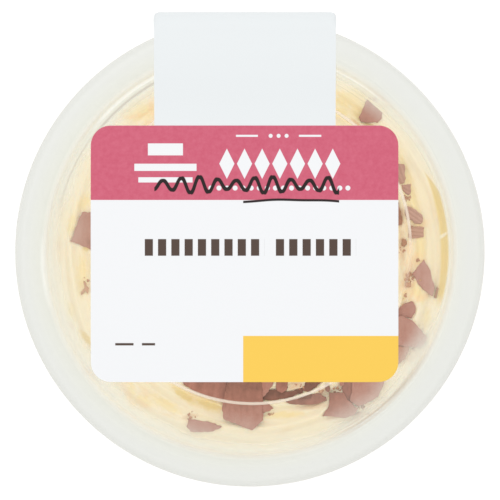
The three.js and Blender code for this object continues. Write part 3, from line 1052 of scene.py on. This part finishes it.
# %% [markdown]
# ## The milky plastic
#
# Tub and lid are natural polypropylene, which is milky: a thin layer lets most of what is behind it through
# and adds a veil of its own pale grey. A volume would do that at a high price in time, so the veil is an
# Alpha that follows the place. Where the cream is pressed against the lid hardly any veil is seen, it
# thickens towards the recess wall, where there is air between, and the rim is all but white.

# %% Sectors and arcs round the lid's axis
SECTOR_SOFTNESS = 0.03  # of the cosine


def sector(x, y, towards, span):
    """1 within a span of degrees on each side of a direction from the lid's axis."""
    turn = math.radians(towards)
    ahead = (x * math.cos(turn) + y * math.sin(turn)) / x.finish.distance(x, y)
    return ahead.above(math.cos(math.radians(span)), SECTOR_SOFTNESS)


def arc(x, y, radius, width, towards, span):
    """A soft line round the lid's axis, within one sector."""
    off = (x.finish.distance(x, y) - radius).apply("ABSOLUTE")
    return (1 - off.above(width / 2, width / 2)) * sector(x, y, towards, span)


# %% The marks on the lid
# Darker lines round the axis: rub marks where stacked tubs slid on the lid, and towards the upper left
# painted shade beside the painted highlight at the foot of the recess wall: radius, width, direction and
# span.
RUBS_AND_SHADE_LINES = (
    (51, 1.3, -40, 5.5), (51.7, 0.3, -55, 8), (50.9, 0.35, -52, 10), (50.2, 0.35, -58, 8),
    (49.5, 0.25, -62, 7), (48.75, 0.6, 128, 15), (49.1, 0.3, 155, 12), (48.2, 0.25, 50, 6),
    (47.3, 0.2, 58, 7), (49.7, 0.25, 27, 4),
)
# Painted highlights: lines where the plastic is painted whiter and milkier, at the foot of the recess wall
# and on its top.
HIGHLIGHT_LINES = (
    (50.05, 0.7, 127, 13), (52, 1.1, 185.5, 4.5), (50.4, 0.6, 60, 8),
)
# Where the plastic is hazier: radius where the haze begins, its softness, direction and span.
HAZES = ((45.5, 4, 120, 20), (46.4, 4, -27, 9))
WORN = (-8, 12)  # the stacking ring is worn here: direction and span
# Beside the middle of the ring: where its crest ends, where a flank begins and ends (painted shade), and how
# softly.
RING_CREST = (0.36, 0.24)
RING_FLANK = ((0.4, 0.15), (0.75, 0.4))


def arcs(x, y, lines):
    """All lines of one kind."""
    return together(arc(x, y, *line) for line in lines)


def ring_masks(x, y):
    """The crest of the stacking ring, its two flanks where shade is painted, and all that lies outside it."""
    from_crest = x.finish.distance(x, y, *RING_CENTRE / MM) - RING_RADIUS / MM
    off = from_crest.apply("ABSOLUTE")
    begin, end = RING_FLANK
    shaded_flanks = off.above(*begin) * (1 - off.above(*end))
    return 1 - off.above(*RING_CREST), shaded_flanks, from_crest.above(0, 1)


# %% The bands of the lid
# Each begins at a radius in millimetres, with an edge as soft as its second number.
AIR_BAND = (46.5, 9)  # from here on there is air between the cream and the lid
AIR_CENTRE = (3, 1)
MILK_BAND = (47.5, 5)  # the top and the bottom are milkier still
MILK_SIDES = (0.45, 0.4)
FOOT_BAND = (49.35, 2.6)  # the foot of the recess wall
WALL_BAND = ((50.5, 0.8), (51.85, 0.9))  # the recess wall begins at the first and ends at the second
RIM_BAND = (52.5, 2.2)
CREAM_LIGHT_BAND = (53, 5)  # inside it warm light from the cream below is painted on the plastic


def band_masks(x, y, radius, cloud):
    """Masks of the air, the milk, the foot, the wall and the rim; foot and rim are sharper on the right."""
    made = x.finish
    to_right = x / radius
    air = (made.distance(x, y, *AIR_CENTRE) + 5 * cloud).above(*AIR_BAND)
    milk = (radius + 3 * cloud).above(*MILK_BAND) * (y / radius).apply("ABSOLUTE").above(*MILK_SIDES)
    foot_at, foot_blur = FOOT_BAND
    foot_blur = foot_blur - 2 * to_right * to_right * to_right
    foot = (radius + 1.4 * cloud * (1 - to_right)).above(foot_at + 0.6 * to_right, foot_blur)
    begin, end = WALL_BAND
    wall = radius.above(*begin) * (1 - radius.above(*end))
    rim_at, rim_blur = RIM_BAND
    rim = (radius + 0.9 * to_right).above(rim_at, rim_blur - 0.7 * to_right)
    return air, milk, foot, wall, rim


# %% The lid's veil and colour
PLASTIC = (0.755, 0.763, 0.724)
# Warm light from the cream, painted on the lid's plastic inside its band; on the tub, a warmer tone in
# clouds.
WARM_TONE_AND_CREAM_LIGHT = (0.765, 0.77, 0.682)
PAINTED_LIGHT_PLASTIC = (0.9, 0.905, 0.84)  # painted light: brighter on the recess wall, which takes in light from both sides, and on the highlights
RING_PLASTIC = (0.86, 0.745, 0.61)
RUB_AND_SHADE = (0.46, 0.38, 0.29)
PLASTIC_IOR = 1.49

# The veil where the cream touches the lid, and what is added to it elsewhere.
VEIL_TOUCHING = 0.04
VEIL_OUTSIDE = 0.05
VEIL_AIR = 0.22
VEIL_MILK = 0.3
VEIL_HAZE = 0.28
VEIL_RUB_AND_SHADE = 0.2
# The veil that takes the place of what is below it.
VEIL_FOOT = 0.8
VEIL_RIM = 0.98
VEIL_RING = 0.75
VEIL_HIGHLIGHT = 0.9


def per_surface(veil):
    """The Alpha of each of a wall's two faces, for the veil of the whole wall."""
    return 1 - (1 - veil).apply("SQRT")


def lid_finish():
    made = Finish("milky_lid")
    spot, (x, y, _) = made.place()
    radius = made.distance(x, y)
    cloud = made.noise(spot, 0.12, detail=3) - 0.5
    air, milk, foot, wall, rim = band_masks(x, y, radius, cloud)
    crest, shaded_flanks, outside = ring_masks(x, y)
    crest = crest * (1 - rim)
    rubs_and_shade = arcs(x, y, RUBS_AND_SHADE_LINES)
    highlights = arcs(x, y, HIGHLIGHT_LINES)
    haze = together(
        (radius + 3 * cloud).above(begin, soft) * sector(x, y, *where) for begin, soft, *where in HAZES)
    to_upper_left = (0.6 * y - 0.8 * x) / radius
    veil = VEIL_TOUCHING + VEIL_OUTSIDE * outside + VEIL_AIR * air + VEIL_MILK * milk + VEIL_HAZE * haze
    veil = blend(veil, VEIL_FOOT + 0.1 * to_upper_left, foot)
    veil = blend(veil, VEIL_RIM, rim)
    veil = blend(veil, VEIL_RING - 0.5 * sector(x, y, *WORN), crest)
    # The painted highlights are made milkier; rub marks and painted shade lines thicken the veil.
    veil = blend(veil, VEIL_HIGHLIGHT, 0.7 * highlights) + VEIL_RUB_AND_SHADE * rubs_and_shade
    # Painted warm light from the cream, inside the band.
    colour = made.mix((radius + 0.9 * x / radius).above(*CREAM_LIGHT_BAND), WARM_TONE_AND_CREAM_LIGHT, PLASTIC)
    colour = made.mix(crest, colour, RING_PLASTIC)
    # Painted light: the recess wall and the highlight lines are painted brighter.
    colour = made.mix(together((wall, highlights)), colour, PAINTED_LIGHT_PLASTIC)
    # Painted shade on the ring's flanks, with the rub marks and painted shade lines, in one darker colour.
    colour = made.mix((0.5 * shaded_flanks + 0.5 * rubs_and_shade).apply("MINIMUM", 0.7), colour, RUB_AND_SHADE)
    grain = made.noise(spot, 1.4, detail=4)
    ripple = made.noise(spot, 0.2, detail=2)
    return made.surface({
        "Base Color": colour,
        "Alpha": per_surface(veil),
        "Roughness": 0.3 + 0.12 * grain,
        "IOR": PLASTIC_IOR,
        "Specular IOR Level": 0.35,
        "Normal": made.bump(0.4 * grain + 4 * ripple, 0.05),
    })


lid.data.materials.append(lid_finish())

# %% The tub's veil and colour
UNDER_SKIRT = (0.60, 0.605, 0.56)  # the wall where the skirt keeps the light off
SKIRT_SHADE = (48.5, 7)  # height where that begins, and its softness
CLOUD_STRETCH = (1, 1, 2.2)  # flattens the clouds


def tub_finish():
    made = Finish("milky_tub")
    spot, (_, _, z) = made.place()
    flow = made.noise(spot, 0.25, detail=3)
    grain = made.noise(spot, 1.6, detail=4)
    # The veil is thicker in flat clouds, where the cream doesn't quite touch the wall, and above the cream.
    cloud = made.noise(made.stretched(spot, CLOUD_STRETCH), 0.045, detail=1)
    veil = blend(0.34 + 0.1 * flow + 0.3 * cloud, 0.9, z.above(CREAM_EDGE / MM, 1.5))
    colour = made.mix(flow, PLASTIC, WARM_TONE_AND_CREAM_LIGHT)
    return made.surface({
        "Base Color": made.mix(z.above(*SKIRT_SHADE) * 0.8, colour, UNDER_SKIRT),
        "Alpha": veil,
        "Roughness": 0.3 + 0.15 * grain,
        "IOR": PLASTIC_IOR,
        "Normal": made.bump(0.5 * grain + 3 * flow, 0.05),
    })


tub.data.materials.append(tub_finish())

# %% [markdown]
# ## The cream's finish
#
# Custard cream is pale, warm and satin. The colour isn't even: the crests, which are pressed against the lid,
# look wetter and more golden, the hollows are paler, and orange streaks of custard run the spatula's way. A
# little light scatters below the surface.

# %% Patches on the cream
# Long patches of the surface: middle, half length and half width in millimetres, and direction.
GOLDEN_PATCHES = (
    (25.1, 38.6, 4.5, 2.4, 0), (27.6, 35.8, 2.2, 3, 0), (23, 35.3, 2, 1.2, 0), (-27.6, 35.6, 4.5, 2.2, 5),
    (-21.3, -38.5, 3.8, 1.2, -30), (-29.9, -35.5, 3.2, 1, -85), (-27.1, -37.7, 2.8, 1.4, -20),
    (-41.7, 12.5, 2.4, 1.4, 60), (-44.9, 7, 2.6, 1, 75), (-42.4, -6, 5, 1.4, 90),
    (-45.4, -15.1, 2.4, 1.1, 100), (44.8, -16.8, 2.4, 1, 85), (42.5, -10.3, 2.8, 1.3, -60),
    (8.3, -41.2, 4.6, 0.8, 3), (40.5, 14, 10, 1.6, 105), (43, 0.6, 5, 1.3, 88),
)
CUSTARD_PATCHES = (
    (-16.8, -36, 3.6, 1.1, -38), (-10.3, -38.7, 3.8, 1.3, -20), (-41, 1, 1.4, 0.8, 10),
    (-41.4, -21.9, 2.2, 0.8, -50), (38.8, -11.2, 1.6, 0.5, 75), (31.2, 31.6, 2.6, 0.5, -20),
)
# Here the cream is tinted orange.
ORANGE_PATCHES = (
    (-24.8, 36, 1, 3.2, 8), (-29, 34.2, 3.4, 0.6, 8), (-25.6, 32.6, 1.4, 0.7, 20), (-31, -35.6, 0.8, 3, 20),
    (-27.4, -38.4, 2.6, 0.7, -30), (39.7, -9.8, 2.8, 1.4, -65), (43.4, -11.6, 2.6, 0.8, 20),
    (40.4, 1.6, 3.4, 0.7, 88), (40.4, -25.8, 1.8, 0.8, 60), (42.6, 7.2, 2.2, 1, 0),
    (41.6, -2.4, 2.6, 1.6, 20), (40.6, -7, 2.8, 1.4, 85),
)
PALE_PATCHES = (
    (-23.3, -35, 2.8, 0.9, 0), (-15.5, -39.2, 5.4, 1, -30), (-22, -43.2, 5, 1.6, -20), (-44, -12, 5, 0.9, 82),
    (45.6, 9, 9, 0.9, 103), (44.4, 20, 5, 0.8, 116), (43, -14, 2.6, 0.8, 60), (17.5, -43.6, 6, 1.1, 18),
    (0, -46.2, 6, 0.8, 4), (36.5, 27.5, 4, 0.9, 130),
)
# Here the spatula dragged cocoa along.
SMEARS = (
    (-40.7, -30.4, 2.2, 0.9, -50), (-45.2, -18.6, 1.3, 0.5, -60), (33.9, 39.4, 2.6, 0.7, -42),
    (-15.2, -41.6, 1.8, 0.6, 10), (27.6, -41.4, 2.4, 0.8, 32), (20.8, -41.9, 2, 0.5, 15),
    (38.2, 8.8, 2.4, 0.9, 80), (39.4, -6.5, 2.6, 0.8, 80), (38.4, 1, 3.4, 0.9, 88),
    (18.4, -35, 1.4, 0.8, 20), (11.6, -33.6, 1.8, 1.2, 20), (41.5, -26.6, 2.4, 1, 50),
    (26.8, 32.6, 1.4, 0.4, -45), (15.5, -39, 4, 0.8, 5),
)

# %% A darker yellow crescent along the wall
# It is what lies between two circles: middle and radius of the inner one, and radius of the outer one.
CRESCENT_MIDDLE = (-8, -0.8)
CRESCENT_INNER = 56.25
CRESCENT_OUTER = 50.3
CRESCENT_FOOT = -12.5
CRESCENT_NOTCH = ((48.6, 4, 1.5, 0.4, 33),)


def darker_yellow_crescent(flat, x, y, radius):
    """A mask; the crescent lies on the right and narrows from outside towards its upper end."""
    made = x.finish
    slant = (y / radius - 0.3).apply("MAXIMUM", 0) * 15
    inside = 1 - (radius + slant).above(CRESCENT_OUTER, 0.4)
    beyond = made.distance(x, y, *CRESCENT_MIDDLE).above(CRESCENT_INNER, 0.7)
    return beyond * inside * (1 - made.patches(flat, 0, CRESCENT_NOTCH)) * y.above(CRESCENT_FOOT, 4)


# %% Streaks, blotches and the cream's colours
CREAM_PALE = (0.875, 0.75, 0.505)
CREAM_GOLD = (0.855, 0.665, 0.36)
CREAM_DEEP = (0.81, 0.555, 0.27)
CREAM_YELLOW = (0.86, 0.67, 0.29)
CUSTARD = (0.76, 0.55, 0.18)
ORANGE = (0.89, 0.61, 0.32)
COCOA_SMEAR = (0.68, 0.41, 0.22)
SMEAR_STRENGTH = 0.55

# Colour, strength and places, in the order in which they are painted.
PAINTED = (
    (CREAM_PALE, 0.8, PALE_PATCHES),
    (CREAM_YELLOW, 0.7, GOLDEN_PATCHES),
    (CUSTARD, 0.8, CUSTARD_PATCHES),
    (ORANGE, 0.55, ORANGE_PATCHES),
)
TOP_FROM = CREAM_EDGE / MM - 1.5  # the top of the cream lies above this height
# How close the streaks lie, round the axis, across the top and up the side.
STREAKS_ROUND = 3
STREAKS_ACROSS = 0.45
STREAKS_UP = 0.35
# Where golden and deep cream begin in the sum of the noises, and how softly.
GOLD_FROM = (0.64, 0.25)
DEEP_FROM = (0.74, 0.12)


def cream_finish():
    made = Finish("custard_cream")
    spot, (x, y, z) = made.place()
    flat = made.node("CombineXYZ", {}, {0: x, 1: y})
    radius = made.distance(x, y)
    on_top = z.above(TOP_FROM, 0.6)
    # The streaks run round the axis, on the top and on the side against the wall.
    across = radius * STREAKS_ACROSS + (1 - on_top) * z * STREAKS_UP
    turned = made.node(
        "CombineXYZ", {}, {0: x / radius * STREAKS_ROUND, 1: y / radius * STREAKS_ROUND, 2: across})
    streak = made.noise(turned, 1.0, detail=4, roughness=0.6)
    blotch = made.noise(spot, 0.09, detail=3)
    ragged = made.noise(spot, 1.1, detail=4) * 1.4 - 0.7 + (streak - 0.5) * 0.8
    gold = (streak * 0.6 + blotch * 0.6 + made.attribute("crest") * 0.05).above(*GOLD_FROM)
    deep = (streak * 0.5 + blotch * 0.7).above(*DEEP_FROM)
    colour = made.mix(gold, CREAM_PALE, CREAM_GOLD)
    colour = made.mix(deep * 0.5, colour, CREAM_DEEP)
    for painted, strength, places in PAINTED:
        colour = made.mix(made.patches(flat, ragged, places) * on_top * strength, colour, painted)
    # A darker yellow crescent along the wall on the right.
    colour = made.mix(darker_yellow_crescent(flat, x, y, radius) * on_top, colour, CUSTARD)
    smears = made.patches(flat, ragged, SMEARS) * on_top
    colour = made.mix(smears * SMEAR_STRENGTH, colour, COCOA_SMEAR)
    pores = made.noise(spot, 2.2, detail=4)
    return made.surface({
        "Base Color": colour,
        "Roughness": 0.42 + 0.2 * pores,
        "Normal": made.bump(pores, 0.08),
        "Subsurface Weight": 0.25,
        "Subsurface Radius": (1.0, 0.7, 0.4),
        "Subsurface Scale": 1.5 * MM,
    })


cream.data.materials.append(cream_finish())

# %% [markdown]
# ## The chocolate's finish
#
# Broken milk chocolate is satin brown with a pale bloom of fine dust, paler on some flakes than on others.
# Shade is painted in the scraper's grooves and on flakes deep in a pile, and the chocolate is yellower where
# cream is smeared on it. So the finish reads a tone, the groove's depth and how smeared a flake is, which the
# mesh carries as attributes.

# %% Chocolate
# Deep cocoa, also used for painted shade in the grooves and in piles.
COCOA_DEEP_AND_SHADE = (0.16, 0.048, 0.018)
COCOA_MILK = (0.385, 0.14, 0.085)
COCOA_DUST = (0.57, 0.335, 0.265)
COCOA_CREAM = (0.58, 0.31, 0.15)  # chocolate that is smeared with cream
MILK_FROM = (0.25, 0.55)
DUST_FROM = (0.85, 0.7)
DUST_STRENGTH = 0.7
GROOVE_SHADE_STRENGTH = 0.32


def chocolate_finish():
    made = Finish("milk_chocolate")
    spot, _ = made.place()
    streak = made.noise(made.stretched(spot, (1.2, 0.25, 1)), 0.9, detail=3)
    cloud = made.noise(spot, 0.5, detail=4)
    dust = made.noise(spot, 3.5, detail=4)
    shade = made.attribute("tone") + 0.5 * (cloud - 0.5) + 0.4 * (streak - 0.5)
    dusty = (shade + 0.6 * (dust - 0.5)).above(*DUST_FROM)
    # Low tones paint the shade on flakes deep in a pile; together with the noise they also vary the
    # chocolate.
    colour = made.mix(shade.above(*MILK_FROM), COCOA_DEEP_AND_SHADE, COCOA_MILK)
    colour = made.mix(dusty * DUST_STRENGTH, colour, COCOA_DUST)
    # Painted shade in the scraper's grooves.
    colour = made.mix(made.attribute("groove") * GROOVE_SHADE_STRENGTH, colour, COCOA_DEEP_AND_SHADE)
    colour = made.mix(made.attribute("smeared") * (0.6 + cloud * 0.8), colour, COCOA_CREAM)
    return made.surface({
        "Base Color": colour,
        "Roughness": 0.42 + 0.25 * dust,
        "Normal": made.bump(dust + 2 * cloud, 0.05),
    })


chocolate.data.materials.append(chocolate_finish())

# %% [markdown]
# ## The label's print
#
# The print is fields of colour and plain shapes: a rose band at the top, a yellow field at the lower right,
# and rows of blocks, bars, dots and a pen stroke where a shop would set its words. Each shape is a mask
# worked out from the sheet's flat places, so it is as sharp as real print at any size.

# %% Masks for plain shapes
PRINT_EDGE = 0.12  # softness of a printed edge, in millimetres
PEN_EDGE = 0.144
LOZENGE_EDGE = 0.06  # in shares of a lozenge's size
LOZENGE_WIDTH = 0.86  # in shares of the pitch


def bar(x, y, left, right, bottom, top):
    """1 inside a rectangle on the sheet."""
    return (
        x.above(left, PRINT_EDGE) * (1 - x.above(right, PRINT_EDGE))
        * y.above(bottom, PRINT_EDGE) * (1 - y.above(top, PRINT_EDGE))
    )


def block_row(x, y, left, right, bottom, top, count, share):
    """A row of equal blocks that each fill a share of their pitch."""
    pitch = (right - left) / count
    within = ((x - left) / pitch).apply("FRACT") * pitch
    return bar(x, y, left, right, bottom, top) * (1 - within.above(share * pitch, PRINT_EDGE))


def lozenge_row(x, y, left, right, middle, height, count):
    """A row of upright lozenges."""
    pitch = (right - left) / count
    across = (((x - left) / pitch).apply("FRACT") - 0.5).apply("ABSOLUTE") * (2 / LOZENGE_WIDTH)
    up = (y - middle).apply("ABSOLUTE") * (2 / height)
    inside = 1 - (across + up).above(1, LOZENGE_EDGE)
    return inside * bar(x, y, left, right, middle - height, middle + height)


def dot_row(x, y, left, right, middle, radius, count):
    """A row of round dots."""
    pitch = (right - left) / count
    across = (((x - left) / pitch).apply("FRACT") - 0.5) * pitch
    off = x.finish.distance(across, y - middle)
    return (1 - off.above(radius, PRINT_EDGE)) * bar(x, y, left, right, middle - pitch, middle + pitch)


def pen_wave(x, y, left, right, middle, swing, wavelength, width):
    """A hand-drawn wave of a pen that keeps its width on the slopes."""
    phase = x * (math.tau / wavelength)
    wander = (x * 0.35).apply("SINE") * 0.3 + 1
    slope = phase.apply("COSINE") * wander * (swing * math.tau / wavelength)
    off = (y - middle - phase.apply("SINE") * wander * swing).apply("ABSOLUTE")
    off = off / (slope * slope + 1).apply("SQRT")
    line = 1 - off.above(width / 2, PEN_EDGE)
    return line * bar(x, y, left, right, middle - 3 * swing, middle + 3 * swing)


# %% What is printed
PAPER_WHITE = (0.84, 0.85, 0.866)
BROWN = (0.085, 0.055, 0.042)
PEN = (0.015, 0.008, 0.008)

# Inks in the order in which they are printed, with the sizes of each shape in millimetres.
PRINT = (
    (PAPER_WHITE, (
        (bar, -25.6, -16.8, 24.2, 27.2),
        (bar, -29, -13.4, 20.3, 22.1),
        (bar, -28, -14.4, 17.4, 18.7),
        (lozenge_row, -8, 23, 22.1, 7.6, 7),
        (bar, -3.5, 2, 28.85, 29.35),
        (bar, 12.3, 17.9, 28.85, 29.35),
        (dot_row, 4.2, 10.2, 29.1, 0.5, 3),
        (dot_row, -10.8, 25.6, 16, 0.62, 18),
    )),
    (BROWN, (
        (block_row, -26.4, 3.6, -1, 3.2, 9, 0.62),
        (block_row, 6.5, 26.6, -1, 3.2, 6, 0.62),
        (bar, -33.8, -29.2, -23.5, -22.9),
        (bar, -27.1, -23.8, -23.5, -22.9),
    )),
    (PEN, (
        (pen_wave, -24, 22.4, 16.8, 1.5, 4.6, 0.95),
        (pen_wave, -1.7, 22.4, 12.6, 0.5, 46, 0.6),
    )),
)

# %% Paper and print
TAIL_WHITE = (0.775, 0.805, 0.815)  # the seal strip is greyer than the panel's paper
ROSE = (0.58, 0.10, 0.165)
ROSE_PALE = (0.69, 0.18, 0.255)
YELLOW = (0.90, 0.58, 0.09)

ROSE_FOOT = 13  # lower edge of the rose band, in millimetres
ROSE_MOTTLE = (0.5, 0.35)
YELLOW_LEFT = -1.7
YELLOW_TOP = -21.1


def label_finish():
    made = Finish("printed_paper")
    flat = made.node("UVMap", {"uv_map": "sheet"}, {})
    x, y, _ = (axis / MM for axis in made.split(flat))
    spot, _ = made.place()
    fibre = made.noise(spot, 3, detail=5, roughness=0.65)
    mottle = made.noise(spot, 0.8, detail=5, roughness=0.7)
    rose = made.mix(mottle.above(*ROSE_MOTTLE) * 0.45, ROSE, ROSE_PALE)
    colour = made.mix(y.above(ROSE_FOOT, PRINT_EDGE), PAPER_WHITE, rose)
    colour = made.mix(y.above(LABEL_TOP / MM, PRINT_EDGE), colour, TAIL_WHITE)
    yellow = x.above(YELLOW_LEFT, PRINT_EDGE) * (1 - y.above(YELLOW_TOP, PRINT_EDGE))
    colour = made.mix(yellow, colour, YELLOW)
    for ink, shapes in PRINT:
        mask = together(draw(x, y, *sizes) for draw, *sizes in shapes)
        colour = made.mix(mask, colour, ink)
    return made.surface({
        "Base Color": colour,
        "Roughness": 0.45 + 0.2 * fibre,
        "Specular IOR Level": 0.25,
        "Normal": made.bump(fibre, 0.02),
    })


label.data.materials.append(label_finish())

# %% [markdown]
# ## Tie the pieces to the model
#
# The model has no joints, so all pieces ride on its one body. Each piece stands for a solid, which is then
# hidden.

# %% Ride and replace
for made, node, slot in (
    (tub, "tub", "tub_plastic"),
    (cream, "cream", "cream"),
    (chocolate, "cream", "chocolate"),
    (lid, "lid", "lid_plastic"),
    (label, "label", "label_paper"),
):
    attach(made, "root")
    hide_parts(node)
    print(f"{made.name} stands for {node}")

# %% Let the light through
# Milky plastic and thin paper spread the light that they take in, so the cream is as bright as without them.
for made in (lid, tub, label):
    made.visible_shadow = False
    made.visible_diffuse = False

# %% [markdown]
# ## Floor, light and camera
#
# The tub stands on a pale floor in a white studio, under light that comes evenly from all round, with one
# large soft lamp far off at the upper left to bring out the relief. The floor glows a little, so that it is
# white right up to the tub. The camera looks straight down, from far enough for the rim to hide the side.

# %% Floor
FLOOR_RADIUS = 4
FLOOR_GAP = 0.05 * MM  # between the floor and the tub's foot, so that the two don't flicker
FLOOR_GREYS = (0.38,) * 3, (0.40,) * 3
FLOOR_GLOW = 0.7


def floor_finish():
    made = Finish("pale_floor")
    spot, _ = made.place()
    return made.surface({
        "Base Color": made.mix(made.noise(spot, 0.004), *FLOOR_GREYS),
        "Roughness": 0.9,
        "Emission Color": (1, 1, 1, 1),
        "Emission Strength": FLOOR_GLOW,
    })


def make_floor():
    bm = bmesh.new()
    bmesh.ops.create_circle(bm, cap_ends=True, segments=64, radius=FLOOR_RADIUS)
    bmesh.ops.translate(bm, verts=bm.verts, vec=(0, 0, -FLOOR_GAP))
    return shown("floor", bm)


floor = make_floor()
floor.data.materials.append(floor_finish())

# %% Light from all round
STUDIO_LIGHT = 1.2  # how bright the studio is where its share is 1

# Shares of that light: at the horizon, where the bright wall behind the floor ends, and overhead. The first
# number is the sine of the angle over the horizon.
STUDIO_STOPS = ((0, (0.92,) * 3), (0.1, (0.6,) * 3), (1, (0.965,) * 3))


def make_studio():
    made = Finish("studio", bpy.data.worlds)
    towards = made.node("TexCoord", {}, {}, output="Generated")
    shares = made.node("ValToRGB", {"stops": STUDIO_STOPS}, {0: made.split(towards)[2]})
    return made.end("World", made.node("Background", {}, {"Color": shares, "Strength": STUDIO_LIGHT}))


bpy.context.scene.world = make_studio()

# %% Lamp
LAMP_SIZE = 0.5
LAMP_POWER = 1.4
LAMP_PLACE = (-0.15, 0.4, 1.1)

lamp_data = bpy.data.lights.new("soft_lamp", "AREA")
lamp_data.shape = "DISK"
lamp_data.size = LAMP_SIZE
lamp_data.energy = LAMP_POWER
lamp = bpy.data.objects.new("soft_lamp", lamp_data)
lamp.location = LAMP_PLACE
lamp.rotation_euler = (-lamp.location).to_track_quat("-Z", "Y").to_euler()
lamp.visible_camera = False
bpy.context.scene.collection.objects.link(lamp)
print(f"lamp {lamp.location.length:.1f} m away")

# %% Camera
VIEW_WIDTH = 125.1 * MM  # how wide the camera's view is at the height of the lid's top
VIEW_MIDDLE = (0.02 * MM, 0.45 * MM)
SENSOR = 36  # width of the camera's sensor and length of its lens, in millimetres
LENS = 200

camera_data = bpy.data.cameras.new("camera")
camera_data.sensor_width = SENSOR
camera_data.lens = LENS
camera = bpy.data.objects.new("camera", camera_data)
camera.location = (*VIEW_MIDDLE, LID_TOP + VIEW_WIDTH * LENS / SENSOR)
bpy.context.scene.collection.objects.link(camera)
bpy.context.scene.camera = camera
bpy.context.scene.view_settings.view_transform = "Standard"
print(f"camera {1000 * camera.location.z:.0f} mm above the floor")
